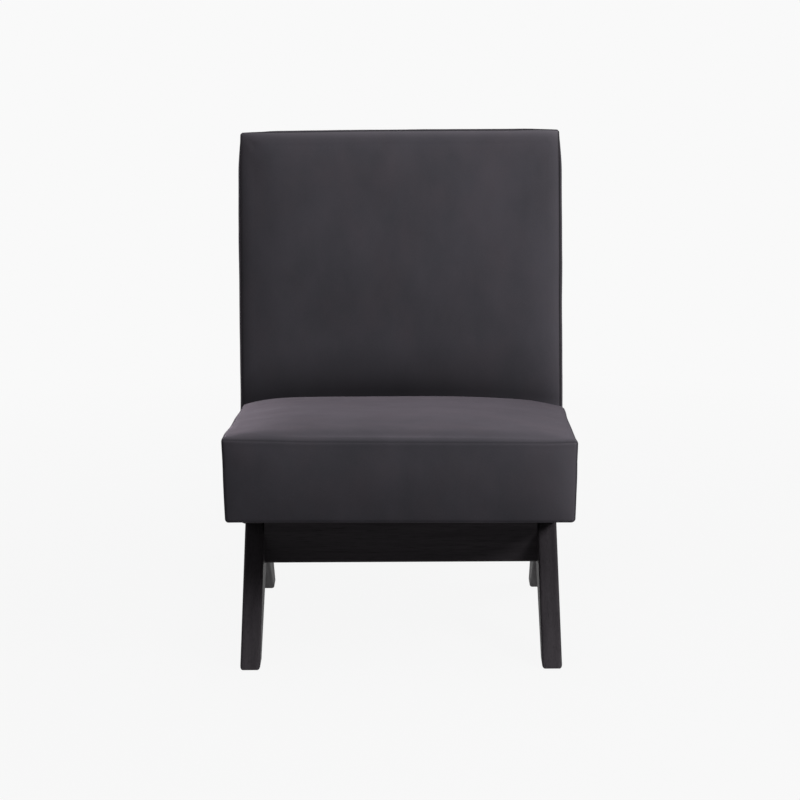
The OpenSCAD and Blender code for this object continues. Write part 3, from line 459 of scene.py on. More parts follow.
def planed_beech(tree, turn):
    """Unfinished beech, planed: pale, with short dark flecks along the grain."""
    c = bpy.context.scene.chair_colours
    shade, _ = layer(tree, c.beech, "#BC9768", (11, 11, 250), (0.3, 0.7), turn=turn, detail=3)
    shade, flecks = layer(tree, shade, "#8F6A42", (1.1, 1.1, 6), (0.6, 0.75), 0.5, turn, detail=1)
    relief = add_node(tree, "ShaderNodeBump", {"Height": flecks, "Distance": 0.0001, "Strength": 0.3})
    return add_node(tree, "ShaderNodeBsdfPrincipled", {
        "Base Color": shade, "Roughness": 0.62, "Normal": relief, "Specular IOR Level": 0.4})


def zinc_plate(tree, base, roughness):
    """Bright zinc plate on steel: grey metal with faint cloudy tarnish."""
    shade, cloud = layer(tree, base, "#9A9A96", (5.5, 5.5, 5.5), (0.35, 0.7), detail=4, roughness=0.6)
    dulled = add_node(tree, "ShaderNodeMapRange", {
        "Value": cloud, "From Min": 0.3, "From Max": 0.7,
        "To Min": roughness - 0.06, "To Max": roughness + 0.1})
    return add_node(tree, "ShaderNodeBsdfPrincipled", {
        "Base Color": shade, "Metallic": 1.0, "Roughness": dulled})


def moulded_nylon(tree):
    """Black moulded nylon: smooth and dull, with a faint moulded grain."""
    shade, grain = layer(tree, "#1B1B1D", "#252527", (1.4, 1.4, 1.4), (0.3, 0.7))
    relief = add_node(tree, "ShaderNodeBump", {"Height": grain, "Distance": 0.0001, "Strength": 0.3})
    return add_node(tree, "ShaderNodeBsdfPrincipled", {
        "Base Color": shade, "Roughness": 0.48, "Normal": relief})


def woven_cloth(tree, dark, light, spacing, roughness, relief):
    """A plain weave: the thread grid is two sine waves at the real spacing in
    millimetres, and the fibres vary in colour along them."""
    sized = measured(tree, [spacing] * 3)
    # A wave texture of scale 1 has a band every 0.314 units
    across, along = [
        add_node(tree, "ShaderNodeTexWave", {
            "Vector": sized, "Scale": 0.314, "Distortion": 0.6, "Detail": 1.0,
        }, wave_type="BANDS", bands_direction=way).outputs["Fac"]
        for way in ("X", "Y")
    ]
    weave = add_node(tree, "ShaderNodeMath", {0: across, 1: along}, operation="MULTIPLY")
    threads = add_node(tree, "ShaderNodeMix", {
        0: weave, 6: colour(dark), 7: colour(light)}, data_type="RGBA").outputs[2]
    shade, _ = layer(tree, threads, dark, (4, 4, 4), (0.4, 0.8), 0.4, detail=3, roughness=0.6)
    raised = add_node(tree, "ShaderNodeBump", {"Height": weave, "Distance": relief, "Strength": 0.6})
    return add_node(tree, "ShaderNodeBsdfPrincipled", {
        "Base Color": shade, "Roughness": roughness, "Normal": raised, "Specular IOR Level": 0.25})


def cut_foam(tree):
    """Cut polyurethane foam: pale yellow, open cells about 1 mm across, with painted shade in their hollows.
    """
    cells = add_node(tree, "ShaderNodeTexVoronoi", {
        "Vector": measured(tree, (1.1, 1.1, 1.1)), "Scale": 1.0})
    shade, _ = layer(tree, "#E6DAAE", "#D9C88F", (80, 80, 80), (0.3, 0.7))
    # Painted shade: the cells' hollows are darker
    hollow = add_node(tree, "ShaderNodeMapRange", {
        "Value": cells, "From Max": 0.5, "To Min": 0.4, "To Max": 0.0})
    shade = add_node(tree, "ShaderNodeMix", {
        0: hollow, 6: shade, 7: colour("#A99A66")}, data_type="RGBA").outputs[2]
    relief = add_node(tree, "ShaderNodeBump", {"Height": cells, "Distance": 0.0004, "Strength": 0.6})
    return add_node(tree, "ShaderNodeBsdfPrincipled", {
        "Base Color": shade, "Roughness": 0.9, "Normal": relief, "Specular IOR Level": 0.2})


def bonded_wadding(tree):
    """Bonded polyester wadding: white, woolly, with thin and thick places."""
    shade, wool = layer(tree, "#DCDAD3", "#F3F2EE", (9, 9, 9), (0.3, 0.7), detail=6, roughness=0.7)
    relief = add_node(tree, "ShaderNodeBump", {"Height": wool, "Distance": 0.0015, "Strength": 0.6})
    return add_node(tree, "ShaderNodeBsdfPrincipled", {
        "Base Color": shade, "Roughness": 0.95, "Normal": relief, "Specular IOR Level": 0.15,
        "Sheen Weight": 0.3})


def studio_paint(tree, backdrop):
    """Painted studio floor: pale and dull. Seen by the camera or in a gloss it
    takes the backdrop's colour, with 3.5 % of its own shading kept near the
    chair, where the shadow falls, and none past 2.2 m."""
    paint = add_node(tree, "ShaderNodeBsdfDiffuse", {"Color": colour("#A2A2A2")})
    glow = add_node(tree, "ShaderNodeEmission", {"Color": colour(backdrop), "Strength": 1.0})
    place = add_node(tree, "ShaderNodeTexCoord").outputs["Object"]
    reach = add_node(tree, "ShaderNodeVectorMath", {0: place}, operation="LENGTH").outputs["Value"]
    near = add_node(tree, "ShaderNodeMapRange", {
        "Value": reach, "From Min": 0.5, "From Max": 2.2, "To Min": 0.965, "To Max": 1.0})
    share = add_node(tree, "ShaderNodeMath", {0: near, 1: seen_directly(tree)}, operation="MULTIPLY")
    return add_node(tree, "ShaderNodeMixShader", {0: share, 1: paint, 2: glow})


def seen_directly(tree):
    """1 for rays from the camera, a gloss or a clear piece, and 0 for light."""
    path = add_node(tree, "ShaderNodeLightPath").outputs
    seen = path["Is Camera Ray"]
    for other in ("Is Glossy Ray", "Is Transmission Ray"):
        seen = add_node(tree, "ShaderNodeMath", {0: seen, 1: path[other]}, operation="MAXIMUM")
    return seen


# Cushions

# Gap between the seat and the back, and the edges of the covers that turn in
JOIN_GAP = 0.0003
TURN_IN = 0.024
REAR_TURN_IN = 0.008
# The seat cover is drawn in at its foot, falls at its front seam, swells over
# its front wall, has a knot at each front corner, hangs along its lower front
# edge and droops at its right rear
SEAT_TAPER = 0.0025
SEAT_FALL = 0.0043
FRONT_SWELL = 0.0060
KNOT = 0.0014
FRONT_HANG = 0.0027
REAR_DROOP = 0.0050
# The back cover is drawn in at its rear and by its slack left side, its panel
# falls at the sides and the top, and is tucked in above the seat
BACK_TAPER = 0.0025
SIDE_SLACK = 0.0020
SIDE_FALL = 0.0090
TOP_FALL = 0.0055
PANEL_TUCK = 0.0120
# How far the stuffing may press a cover out, and how far it wanders by hand
FULLNESS = 0.004
WANDER = 0.00035


def seat_box():
    """The seat cover's low and high corners in the seat frame."""
    c = chair()
    return np.array([[-c.seat_width / 2, 0, 0], [c.seat_width / 2, c.seat_depth, c.seat_height]])


def back_box():
    """The back cover's low and high corners, along x and up from its foot and
    forwards from its rear."""
    c = chair()
    return np.array([[-c.back_width / 2, 0, 0], [c.back_width / 2, c.back_length, back_depth()]])


def seat_rise(x, v):
    """Crown over the seat: zero at the side seams and the front seam, a third
    of it within a soft front roll, and full from two fifths of the depth. The
    left shoulder is fuller."""
    c = chair()
    half = c.seat_width / 2
    power = np.where(x < 0, 2.7 + 4.3 * smooth(-3 * x / half), 2.7)
    over = 1 - np.minimum(np.abs(x) / half, 1) ** power
    return c.seat_crown * over * (0.35 * (1 - np.exp(-v / 0.010)) + 0.65 * smooth(v / (0.42 * c.seat_depth)))


def seat_shape(x, v, h):
    """A box on the seat frame, put into the chair's: drawn in towards its foot by
    up to the taper, lifted by the crown, and leant with the back at its rear."""
    c = chair()
    half, depth, tall = c.seat_width / 2, c.seat_depth, c.seat_height
    side, to_side = x / half, half - np.abs(x)
    draw = SEAT_TAPER * np.clip(1 - h / (0.55 * tall), 0, 1) ** 1.4
    # The seams' knots stand out at the two front corners
    to_knot = np.sqrt(to_side ** 2 + v ** 2 + (tall - h) ** 2)
    knot = KNOT * np.exp(-((to_knot / 0.026) ** 2))
    to_top = smooth((h / tall - 0.35) / 0.65)
    # Ahead of the base the lower front edge hangs, most on the right
    hang = 0.0003 + FRONT_HANG * smooth((side + 1) / 2)
    hang = hang * (1 - smooth(h / 0.07)) * (1 - smooth((v - 0.02) / 0.12))
    # The top stands higher at its left front and droops at its right rear
    settle = 0.0008 - 0.0026 * side + 0.0018 * smooth((-side - 0.5) / 0.35)
    settle = settle * (1 - smooth(v / 0.19))
    droop = REAR_DROOP * smooth((side - 0.78) / 0.22) * smooth((v / depth - 0.5) / 0.5)
    # Its sides stand out, the left one most near the front
    rear = smooth((v / depth - 0.6) / 0.3)
    left = 0.0032 * np.exp(-(((v - 0.10) / 0.08) ** 2)) - 0.0028 * rear
    out = np.where(x < 0, left, 0.0006 + 0.0016 * rear)
    out = out * to_top * smooth((np.abs(side) - 0.5) / 0.5)
    # The front wall swells between its edges
    to_edge = np.minimum(h, tall - h)
    swell = (1 - np.exp(-to_side / 0.022)) * (1 - np.exp(-to_edge / 0.014)) * (1 - smooth(v / 0.06))
    fall = SEAT_FALL * np.exp(-v / 0.010)
    h = h + (seat_rise(x, v) - fall + settle - droop) * to_top + knot - hang
    x = x * (1 - draw / half) + np.sign(x) * (knot + out) + 0.6 * droop * to_top
    v = v + draw * (1 - v / depth) - 0.3 * draw * v / depth - FRONT_SWELL * swell
    v = v * (1 + h * math.tan(back_lean()) / depth)
    return seat_to_world(x, v, h)


def edge_run(points, low, high):
    """A coordinate along the nearest seam: up the corners, and along x or y on
    the upper edges, each with its own offset so that no two repeat."""
    x, y, z = points.T
    dx = np.minimum(x - low[0], high[0] - x)
    dy = np.minimum(y - low[1], high[1] - y)
    dz = high[2] - z
    corner = np.maximum(dx, dy) < dz
    side = np.where(dx < dy, y + 3 * np.sign(x), x + 7 * np.sign(y - (low[1] + high[1]) / 2))
    return np.where(corner, z + 11 * np.sign(x) + 17 * np.sign(y - high[1] / 2), side)


def seat_skin(pitch):
    """The seat cover's grid and what is known of each point of it."""
    low, high = seat_box()
    # Small beside the front's seams, whose softness is in the roll behind them
    low_radius = np.array([0.0055, 0.005, 0.006])
    high_radius = np.array([0.0075, chair().edge_radius, 0.0045])
    # Grid lines at the turned-in edges, and two more within the front roll
    extra = [
        (low[0] + TURN_IN, high[0] - TURN_IN), (0.010, 0.015, TURN_IN, high[1] - REAR_TURN_IN), ()]
    points, shaped, faces, panel = shaped_box(
        low, high, low_radius, high_radius, pitch, seat_shape, extra, (TURN_IN, (TURN_IN, REAR_TURN_IN)))
    x, y, z = points.T
    seam = seam_distance(points, low, high, low_radius[1])
    to_rear, to_right = high[1] - y, high[0] - x
    # Free to swell away from the seams, the foot and the rear wall
    free = smooth(seam / 0.03) * smooth(z / 0.04) * smooth(to_rear / 0.03)
    # Darker beside the seams, and painted shade in the crease where the back meets the seat
    seam_and_painted_shade = np.maximum(0.38 * np.exp(-seam / 0.0025), 0.24 * np.exp(-to_rear / 0.060))
    # A painted highlight towards the right end of the front wall, on the side the light comes from
    raised = np.where(y < 1e-6, 0.30 * np.exp(-to_right / 0.035), 0)
    known = {"seam": seam, "along": edge_run(points, low, high), "free": free, "seam_and_painted_shade": seam_and_painted_shade, "open": raised}
    return shaped, faces, panel, known


def back_rise(x, v):
    """Swell of the back's front panel: none behind the seat, full a third of
    the way up, and a third of it left at the top seam."""
    c = chair()
    half = c.back_width / 2
    over = 1 - np.minimum(np.abs(x) / half, 1) ** 2.8
    start = c.seat_height + c.seat_crown + 0.055
    up = smooth((v - start) / (0.3 * c.back_length))
    top = 1 - 0.7 * np.maximum(2 * v / c.back_length - 1, 0) ** 2
    return c.back_crown * over * up * top


def back_shape(x, v, h):
    """A box on the back frame, with h forwards from its rear, put into the
    chair's: its front seam is drawn in, its boxing bulges out again but at the
    upper corners, and its foot is cut to the seat's underside."""
    c = chair()
    half, length, deep = c.back_width / 2, c.back_length, back_depth()
    side, up = np.abs(x) / half, v / length
    to_side = half - np.abs(x)
    to_front = smooth((h / deep - 0.45) / 0.55)
    q = 1 - np.clip(h / deep, 0, 1)
    line = c.seam_inset * (1 - q) + BACK_TAPER * q
    bulge = 1 - np.abs(2 * q - 1) ** 2.2
    # The boxing is tight at the two upper corners
    to_corner = np.hypot(np.maximum(to_side, 0), np.maximum(length - v, 0))
    draw = line * (1 - bulge * smooth(to_corner / 0.075))
    # The left side is drawn in a little more towards the seat
    slack = np.where(x < 0, SIDE_SLACK * (1 - smooth((up - 0.16) / 0.66)), 0)
    # The upper edge droops on the left and stands up on the right
    settle = np.where(x < 0, -0.0013 * smooth((side - 0.1) / 0.6), 0.0010 * smooth((side - 0.7) / 0.2))
    settle = smooth((up - 0.5) / 0.5) * settle
    # The front panel falls towards its seams, most at the sides, and is tucked
    # in where it meets the top of the seat
    fall = SIDE_FALL * np.exp(-to_side / 0.016) * (0.3 + 0.7 * smooth((v - 0.02) / 0.12))
    fall = fall + TOP_FALL * np.exp(-(length - v) / 0.010)
    above = np.maximum(v - c.seat_height - c.seat_crown * (1 - side ** 3), 0)
    tuck = PANEL_TUCK * np.exp(-above / 0.026) * smooth((v - 0.078) / 0.058)
    t = deep - h - (back_rise(x, v) - fall - tuck) * to_front
    # Its upper right side stands out
    out = np.where(x > 0, 0.0010 * side ** 3 * smooth((up - 0.5) / 0.15), 0)
    x = x * (1 - (draw + slack) / half) + out
    v = v - draw * up + settle
    return back_to_world(x, t, length - (length - v) * (1 - t * math.tan(back_lean()) / length))


def back_skin(pitch):
    """The back cover's grid and what is known of each point of it."""
    c = chair()
    low, high = back_box()
    radius = 0.0045
    low_radius, high_radius = np.array([radius, radius, 0.003]), np.full(3, radius)
    # Grid lines beside the seams, where the panel falls, and at the turned-in edges
    beside = np.array([0.010, 0.016, TURN_IN])
    extra = [(*(low[0] + beside), *(high[0] - beside)), (TURN_IN, *(high[1] - beside)), ()]
    points, shaped, faces, panel = shaped_box(
        low, high, low_radius, high_radius, pitch, back_shape, extra, (TURN_IN, TURN_IN))
    x, y, z = points.T
    seam = seam_distance(points, low, high, radius)
    behind, to_top, above_seat = high[2] - z, high[1] - y, y - c.seat_height - c.seat_crown
    # Free to swell above the seat and on the boxing, away from seams and foot
    on_wall = smooth((behind - 0.012) / 0.006) * smooth(y / 0.04)
    free = np.maximum(smooth((above_seat - 0.02) / 0.08), on_wall)
    free = smooth(seam / 0.03) * smooth(z / 0.03) * free
    # Darker beside the front seam. Painted shade on the boxing behind it, more on
    # the right, down the panel's left side, and above the seat where it meets
    # the seat. A painted highlight along the top and down the right.
    front = behind <= 1e-6
    middle = 1 - (2 * x / c.back_width) ** 2
    # Painted shade above the seat, deepest in the middle and less on the right, and down the left side
    painted_shade = 0.42 + 0.26 * middle - 0.26 * smooth(2.2 * x / c.back_width)
    painted_shade = painted_shade * (1 - smooth(above_seat / 0.105))
    painted_shade = np.maximum(painted_shade, 0.34 * np.exp(-(x - low[0]) / 0.034))
    seam_and_painted_shade = np.where(front, np.maximum(0.8 * np.exp(-seam / 0.0012), painted_shade),
                    (0.68 + 0.48 * x / c.back_width) * np.exp(-behind / 0.012))
    # Painted highlight along the top seam and down the right side
    raised = 0.50 * np.exp(-to_top / 0.008) + 0.20 * np.exp(-(high[0] - x) / 0.014)
    raised = np.where(front, np.minimum(raised, 0.6), 0) * (1 - painted_shade)
    known = {"seam": seam, "along": edge_run(points, low, high), "free": free, "seam_and_painted_shade": seam_and_painted_shade, "open": raised}
    return shaped, faces, panel, known


def cushion(name, skin, node, panel_bloom):
    """Skin, pressed out by the stuffing, subdivided, sewn and given its cloth."""
    c = chair()
    points, faces, panel, known = skin
    piece = new_piece(name, points, faces, known)
    piece.data.polygons.foreach_set("material_index", (~panel).astype(np.int32))
    inflate(piece, known["free"], FULLNESS)
    subdivide(piece)
    sew(piece, c.seam_depth, WANDER)
    wall(piece, c.cloth_thickness)
    # The boxing's pile, pulled tight between two seams, blooms less
    for part, bloom in (("panel", panel_bloom), ("boxing", 0.12)):
        piece.data.materials.append(make_material(f"{name}_{part}_velvet", brushed_velvet, bloom))
    ready(piece, node)


class CHAIR_OT_seat_cushion(bpy.types.Operator):
    """Make the seat's velvet cover, crowned and sewn, over its padding"""

    bl_idname = "chair.seat_cushion"
    bl_label = "Seat cushion"

    def execute(self, context):
        cushion("seat_cushion", seat_skin(0.0095), "seat_cover", 0.45)
        return {"FINISHED"}


class CHAIR_OT_back_cushion(bpy.types.Operator):
    """Make the back's velvet cover with its boxing, over its padding"""

    bl_idname = "chair.back_cushion"
    bl_label = "Back cushion"

    def execute(self, context):
        cushion("back_cushion", back_skin(0.0105), "back_cover", 0.40)
        return {"FINISHED"}


# Padding, inside

# Levels of the springing: the seat's rails above its underside, and the back's
# straps behind its front panel's plane. The deck cloth lies over both layers
# of straps.
RAIL_TOP = 0.0712
PAD_DEPTH = 0.050
STRAP = 0.0012
HESSIAN = 0.0006
DECK = 2 * STRAP + HESSIAN + 0.0008
DECK_TOP = RAIL_TOP + DECK
BACK_DECK = PAD_DEPTH - DECK
# The wadding's thickness, and how far it turns in under a form
WADDING = 0.0068
WRAP_TURN = 0.012


class CHAIR_OT_padding(bpy.types.Operator):
    """Make the foam and the wadding of the seat and of the back"""

    bl_idname = "chair.padding"
    bl_label = "Foam and wadding"

    def execute(self, context):
        foam = make_material("cut_polyurethane_foam", cut_foam)
        wadding = make_material("bonded_polyester_wadding", bonded_wadding)
        radius = np.full(3, 0.006)
        seat, back = (seat_box(), seat_shape), (back_box(), back_shape)
        deck = back_depth() - BACK_DECK
        # Each form's insets from its cover's low corner and from its high one
        rows = [
            ("seat_foam_block", *seat, (0.0105, 0.0105, DECK_TOP), (0.0105, 0.0045, 0.0115)),
            ("seat_wadding_wrap", *seat, (0.0026, 0.0026, 0.0056), (0.0026, 0.0026, 0.0030)),
            ("back_foam_block", *back, (0.0105, 0.1538, deck), (0.0105, 0.0105, 0.0125)),
            ("back_wadding_wrap", *back, (0.0026, 0.1455, deck), (0.0026, 0.0026, 0.0040)),
        ]
        for name, (low, high), shape, from_low, from_high in rows:
            wrap = name.endswith("wrap")
            _, points, faces, _ = shaped_box(
                low + from_low, high - from_high, radius, radius, 0.022, shape,
                opening=(WRAP_TURN, WRAP_TURN) if wrap else None)
            piece = new_piece(name, points, faces)
            points, normal = read(piece.data.vertices), read(piece.data.vertex_normals, "vector")
            write(piece, points + normal * 0.0003 * waves(points, (0.11, 0.06), 3)[:, None])
            if wrap:
                wall(piece, WADDING)
            piece.data.materials.append(wadding if wrap else foam)
            ready(piece, name.rsplit("_", 1)[0])
        return {"FINISHED"}


# Springing

# Where the straps end: to each side, and at the foot and head of the run
SEAT_WEB_SIDE = 0.2703
SEAT_WEB_FRONT = 0.0166
BACK_WEB_SIDE = 0.2809
BACK_WEB_FOOT = 0.1498
BACK_WEB_HEAD = 0.6219
WEB_WIDTH = 0.050


def ribbon(middle, side, up, width, thickness):
    """A strap along a line of points. Its section is a thin rectangle with
    rounded edges: half the width * cos(a)^0.25, half the thickness * sin(a)^0.5,
    each with its sign."""
    turn = np.linspace(0, 2 * math.pi, 12, endpoint=False) + math.pi / 12
    flat = np.sign(np.cos(turn)) * np.abs(np.cos(turn)) ** 0.25 * width / 2
    tall = np.sign(np.sin(turn)) * np.abs(np.sin(turn)) ** 0.5 * thickness / 2
    rings = middle[:, None, :] + flat[None, :, None] * side + tall[None, :, None] * up
    rows, count = rings.shape[:2]
    i, j = np.meshgrid(np.arange(rows - 1), np.arange(count), indexing="ij")
    k = (j + 1) % count
    quads = np.stack([i * count + j, i * count + k, (i + 1) * count + k, (i + 1) * count + j], -1)
    ends = [np.arange(count)[::-1], (rows - 1) * count + np.arange(count)]
    return rings.reshape(-1, 3), quads.reshape(-1, 4).tolist() + [end.tolist() for end in ends]


def woven_straps(axis, places, start, end, level, crossings):
    """Straps along one axis that pass over and under those that cross them, from
    start to end, at level there. Between crossings the height is half a strap
    times a smooth step from one side to the other."""
    all_points, all_faces, first = [], [], 0
    for number, place in enumerate(places):
        run = np.linspace(start, end, 90)
        knots = np.concatenate([[start + 0.02], crossings, [end - 0.02]])
        signs = np.where((np.arange(len(crossings)) + number) % 2 == 0, 1.0, -1.0)
        if axis == 0:
            signs = -signs
        heights = np.concatenate([[level], signs, [level]])
        segment = np.clip(np.searchsorted(knots, run) - 1, 0, len(knots) - 2)
        share = smooth((run - knots[segment]) / (knots[segment + 1] - knots[segment]))
        height = (heights[segment] * (1 - share) + heights[segment + 1] * share) * STRAP / 2
        middle = np.zeros((len(run), 3))
        middle[:, axis], middle[:, 1 - axis], middle[:, 2] = run, place, height
        side, up = np.eye(3)[1 - axis], np.eye(3)[2]
        points, faces = ribbon(middle, side if axis else -side, up, WEB_WIDTH, STRAP * 0.96)
        all_points.append(points)
        all_faces += [[index + first for index in face] for face in faces]
        first += len(points)
    return np.concatenate(all_points), all_faces


class CHAIR_OT_springing(bpy.types.Operator):
    """Weave the jute webbing of the seat and of the back"""

    bl_idname = "chair.springing"
    bl_label = "Webbing"

    def execute(self, context):
        jute = make_material("woven_jute_webbing", woven_cloth, "#5A4129", "#8A6A47", 1.6, 0.85, 0.0004)

        def on_seat(x, y, z):
            """Straps on the seat's rails, with z up from their middle."""
            return seat_to_world(x, y, z + RAIL_TOP + STRAP)

        def on_back(x, y, z):
            """Straps behind the back's padding, with z forwards."""
            return back_to_world(x, PAD_DEPTH - STRAP - z, y)

        # Evenly spaced across, and in the middles of equal bays between the rails
        bays = np.arange(4) + 0.5
        front, foot, head = 0.0383, 0.2015, 0.5702
        lean = back_lean()
        rear = chair().seat_depth + JOIN_GAP - 0.0293 / math.cos(lean) + RAIL_TOP * math.tan(lean)
        seat_x, seat_y = (np.arange(5) - 2) * 0.0994, front + bays * (rear - front) / 4
        back_x, back_y = (np.arange(4) - 1.5) * 0.1296, foot + bays * (head - foot) / 4
        # Name, node, frame, axis, places, start, end, level there, crossings
        rows = [
            ("seat_webbing_lengthwise", "seat_long_webbing", on_seat,
             1, seat_x, SEAT_WEB_FRONT, rear + 0.0219, -1, seat_y),
            ("seat_webbing_crosswise", "seat_cross_webbing", on_seat,
             0, seat_y, -SEAT_WEB_SIDE, SEAT_WEB_SIDE, 1, seat_x),
            ("back_webbing_lengthwise", "back_long_webbing", on_back,
             1, back_x, BACK_WEB_FOOT, BACK_WEB_HEAD, 1, back_y),
            ("back_webbing_crosswise", "back_cross_webbing", on_back,
             0, back_y, -BACK_WEB_SIDE, BACK_WEB_SIDE, -1, back_x),
        ]
        for name, node, to_world, *run in rows:
            points, faces = woven_straps(*run)
            piece = new_piece(name, to_world(*points.T), faces, flat=True)
            piece.data.materials.append(jute)
            ready(piece, node)
        return {"FINISHED"}


# Sheets

# The outside panel's inset from the back's edges, and the hems folded in
PANEL_INSET = 0.0061
PANEL_HEM = 0.014
DUST_HEM = 0.012
# The deck cloth's middle below its level, which is clear of its upper side
DECK_MIDDLE = 0.0004


def folded_sheet(width, length, hem, pitch, sag):
    """A cloth with its edges folded back: flat coordinates p and q on a grid,
    where a point past an edge by e lies e back from it on the other side. The
    two hems leave out their shared corners. sag is a function of p and q that
    moves the open cloth."""
    def lines(size):
        """Flat coordinates over the cloth, with four more across each hem."""
        half = size / 2
        inner = np.linspace(-half, half, max(2, round(size / pitch)) + 1)
        fold = half + hem * np.array([0.05, 0.12, 0.5, 1.0])
        return np.concatenate([-fold[::-1], inner, fold]) if hem else inner
    p, q = np.meshgrid(lines(width), lines(length), indexing="ij")
    past = [np.maximum(np.abs(a) - size / 2, 0) for a, size in ((p, width), (q, length))]
    x = np.sign(p) * (np.minimum(np.abs(p), width / 2) - past[0])
    y = np.sign(q) * (np.minimum(np.abs(q), length / 2) - past[1])
    behind = np.maximum(smooth(past[0] / 0.0012), smooth(past[1] / 0.0012))
    rows, columns = p.shape
    index = np.arange(rows * columns).reshape(rows, columns)
    quads = np.stack([index[:-1, :-1], index[1:, :-1], index[1:, 1:], index[:-1, 1:]], -1).reshape(-1, 4)
    in_corner = (past[0] > 0.02 * hem) & (past[1] > 0.02 * hem)
    quads = quads[~in_corner.ravel()[quads].any(1)]
    lift = sag(x, y) * (1 - behind)
    used, flat = np.unique(quads, return_inverse=True)
    grid = np.stack([x.ravel(), y.ravel(), behind.ravel(), lift.ravel()])[:, used]
    return grid, flat.reshape(-1, 4)


def hang(piece, node, slot, material, thickness, size, hem, rests_on):
    """Gives a cloth its wall and its finish and hangs it in place of its CAD node.
    The size it was cut to, a hem more at each edge, less the four corners, is not used."""
    wall(piece, thickness, 0)
    piece.data.materials.append(material)
    ready(piece, node)


class CHAIR_OT_sheets(bpy.types.Operator):
    """Stretch the outside panel, the dust cover and the two deck cloths"""

    bl_idname = "chair.sheets"
    bl_label = "Stretched cloths"

    def execute(self, context):
        c = chair()
        velvet = make_material("outside_panel_velvet", brushed_velvet, 0.3)
        # Spun-bonded cloth isn't woven, but its embossed grid is drawn as a weave
        dust = make_material(
            "spun_bonded_dust_cloth", woven_cloth, "#101012", "#1E1E21", 1.1, 0.9, 0.0001)
        hessian = make_material(
            "plain_woven_hessian", woven_cloth, "#8A6C42", "#C2A675", 2.0, 0.9, 0.0005)

        # Outside panel: closed over the back's frame, edges folded in 14 mm
        low = c.back_thickness * math.tan(back_lean()) + PANEL_INSET
        high = c.back_length - PANEL_INSET
        width = c.back_width - 2 * PANEL_INSET

        def dish(x, y):
            """Hollow of a cloth held at its edges, and faint pulls along them."""
            edge = np.minimum(width / 2 - np.abs(x), (high - low) / 2 - np.abs(y))
            flat = np.column_stack([x.ravel(), y.ravel()])
            pulls = waves(flat, (0.045, 0.03), 21).reshape(x.shape) * np.exp(-edge / 0.03)
            return 0.0011 * smooth(edge / 0.12) + 0.00022 * pulls * smooth(edge / 0.01)

        (x, y, fold, lift), faces = folded_sheet(width, high - low, PANEL_HEM, 0.012, dish)
        t = c.back_thickness - 0.0003 - 0.0006 * fold - lift
        points = back_to_world(x, t, y + (low + high) / 2)
        # Its face is turned to the rear
        hang(new_piece("outside_panel", points, faces[:, ::-1]), "back_outside_panel", "velvet", velvet,
             0.0005, (width, high - low), PANEL_HEM,
             ["back_tack_strips", "back_top_rail", "back_left_upright", "back_right_upright"])

        # Dust cover: under the seat frame, folded in 12 mm and stapled
        half = c.seat_width / 2 - TURN_IN - JOIN_GAP
        front, rear = TURN_IN + JOIN_GAP, c.seat_depth - REAR_TURN_IN - JOIN_GAP

        def belly(x, y):
            """Slack between the rails that cross under the cloth."""
            u = y + (front + rear) / 2
            bays = [(0.030, 0.194), (0.229, 0.335), (0.372, 0.462)]
            drop = sum(np.sin(math.pi * np.clip((u - a) / (b - a), 0, 1)) ** 2 for a, b in bays)
            return -0.0016 * drop * smooth((0.222 - np.abs(x)) / 0.05)

        (x, y, fold, lift), faces = folded_sheet(2 * half, rear - front, DUST_HEM, 0.012, belly)
        points = seat_to_world(x, y + (front + rear) / 2, 0.0003 + 0.0005 * fold + lift)
        hang(new_piece("dust_cover", points, faces[:, ::-1]), "seat_dust_cover", "dust_cloth", dust,
             0.0004, (2 * half, rear - front), DUST_HEM,
             ["seat_front_rail", "seat_rear_rail", "seat_left_rail", "seat_right_rail"])

        # Deck cloths: hessian over the webbing
        def marked(x, y):
            """Low, slow waves where the straps under the cloth mark it."""
            return 0.0001 * waves(np.column_stack([x.ravel(), y.ravel()]), (0.1, 0.06), 9).reshape(x.shape)

        for part, side, start, end, under in (
            ("seat", SEAT_WEB_SIDE, SEAT_WEB_FRONT, 0.4828, "seat_webbing_crosswise"),
            ("back", BACK_WEB_SIDE, BACK_WEB_FOOT, BACK_WEB_HEAD, "back_webbing_lengthwise"),
        ):
            (x, y, _, lift), faces = folded_sheet(2 * side, end - start, 0, 0.02, marked)
            y = y + (start + end) / 2
            if part == "seat":
                points = seat_to_world(x, y, DECK_TOP - DECK_MIDDLE + lift)
            else:
                points = back_to_world(x, BACK_DECK + DECK_MIDDLE - lift, y)
            hang(new_piece(f"{part}_deck_hessian", points, faces), f"{part}_deck_cloth", "deck_cloth",
                 hessian, HESSIAN, (2 * side, end - start), 0, [under])
        return {"FINISHED"}


# Finishes


def finish_nodes(names, material):
    """Gives CAD nodes a material in place of their plain one."""
    for name in names:
        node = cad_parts[name]
        if not node.material_slots:
            node.data.materials.append(material)
        for slot in node.material_slots:
            slot.material = material


class CHAIR_OT_base_finish(bpy.types.Operator):
    """Stain the legs, bearers, apron and cross rail along their grain"""

    bl_idname = "chair.base_finish"
    bl_label = "Base finish"

    def execute(self, context):
        slant = math.radians(53.5)
        level = -math.pi / 2 - chair().seat_tilt
        # A turn of -a about X leans the grain's axis, Z, back by a
        for name, turn, nodes in (
            ("stained_front_legs", (-slant, 0, 0), ["left_front_leg", "right_front_leg"]),
            ("stained_rear_legs", (slant, 0, 0), ["left_rear_leg", "right_rear_leg"]),
            ("stained_bearers", (level, 0, 0), ["left_bearer", "right_bearer"]),
            ("stained_cross_boards", (0, math.pi / 2, 0), ["front_apron", "rear_cross_rail"]),
        ):
            finish_nodes(nodes, make_material(name, stained_hardwood, turn))
        return {"FINISHED"}


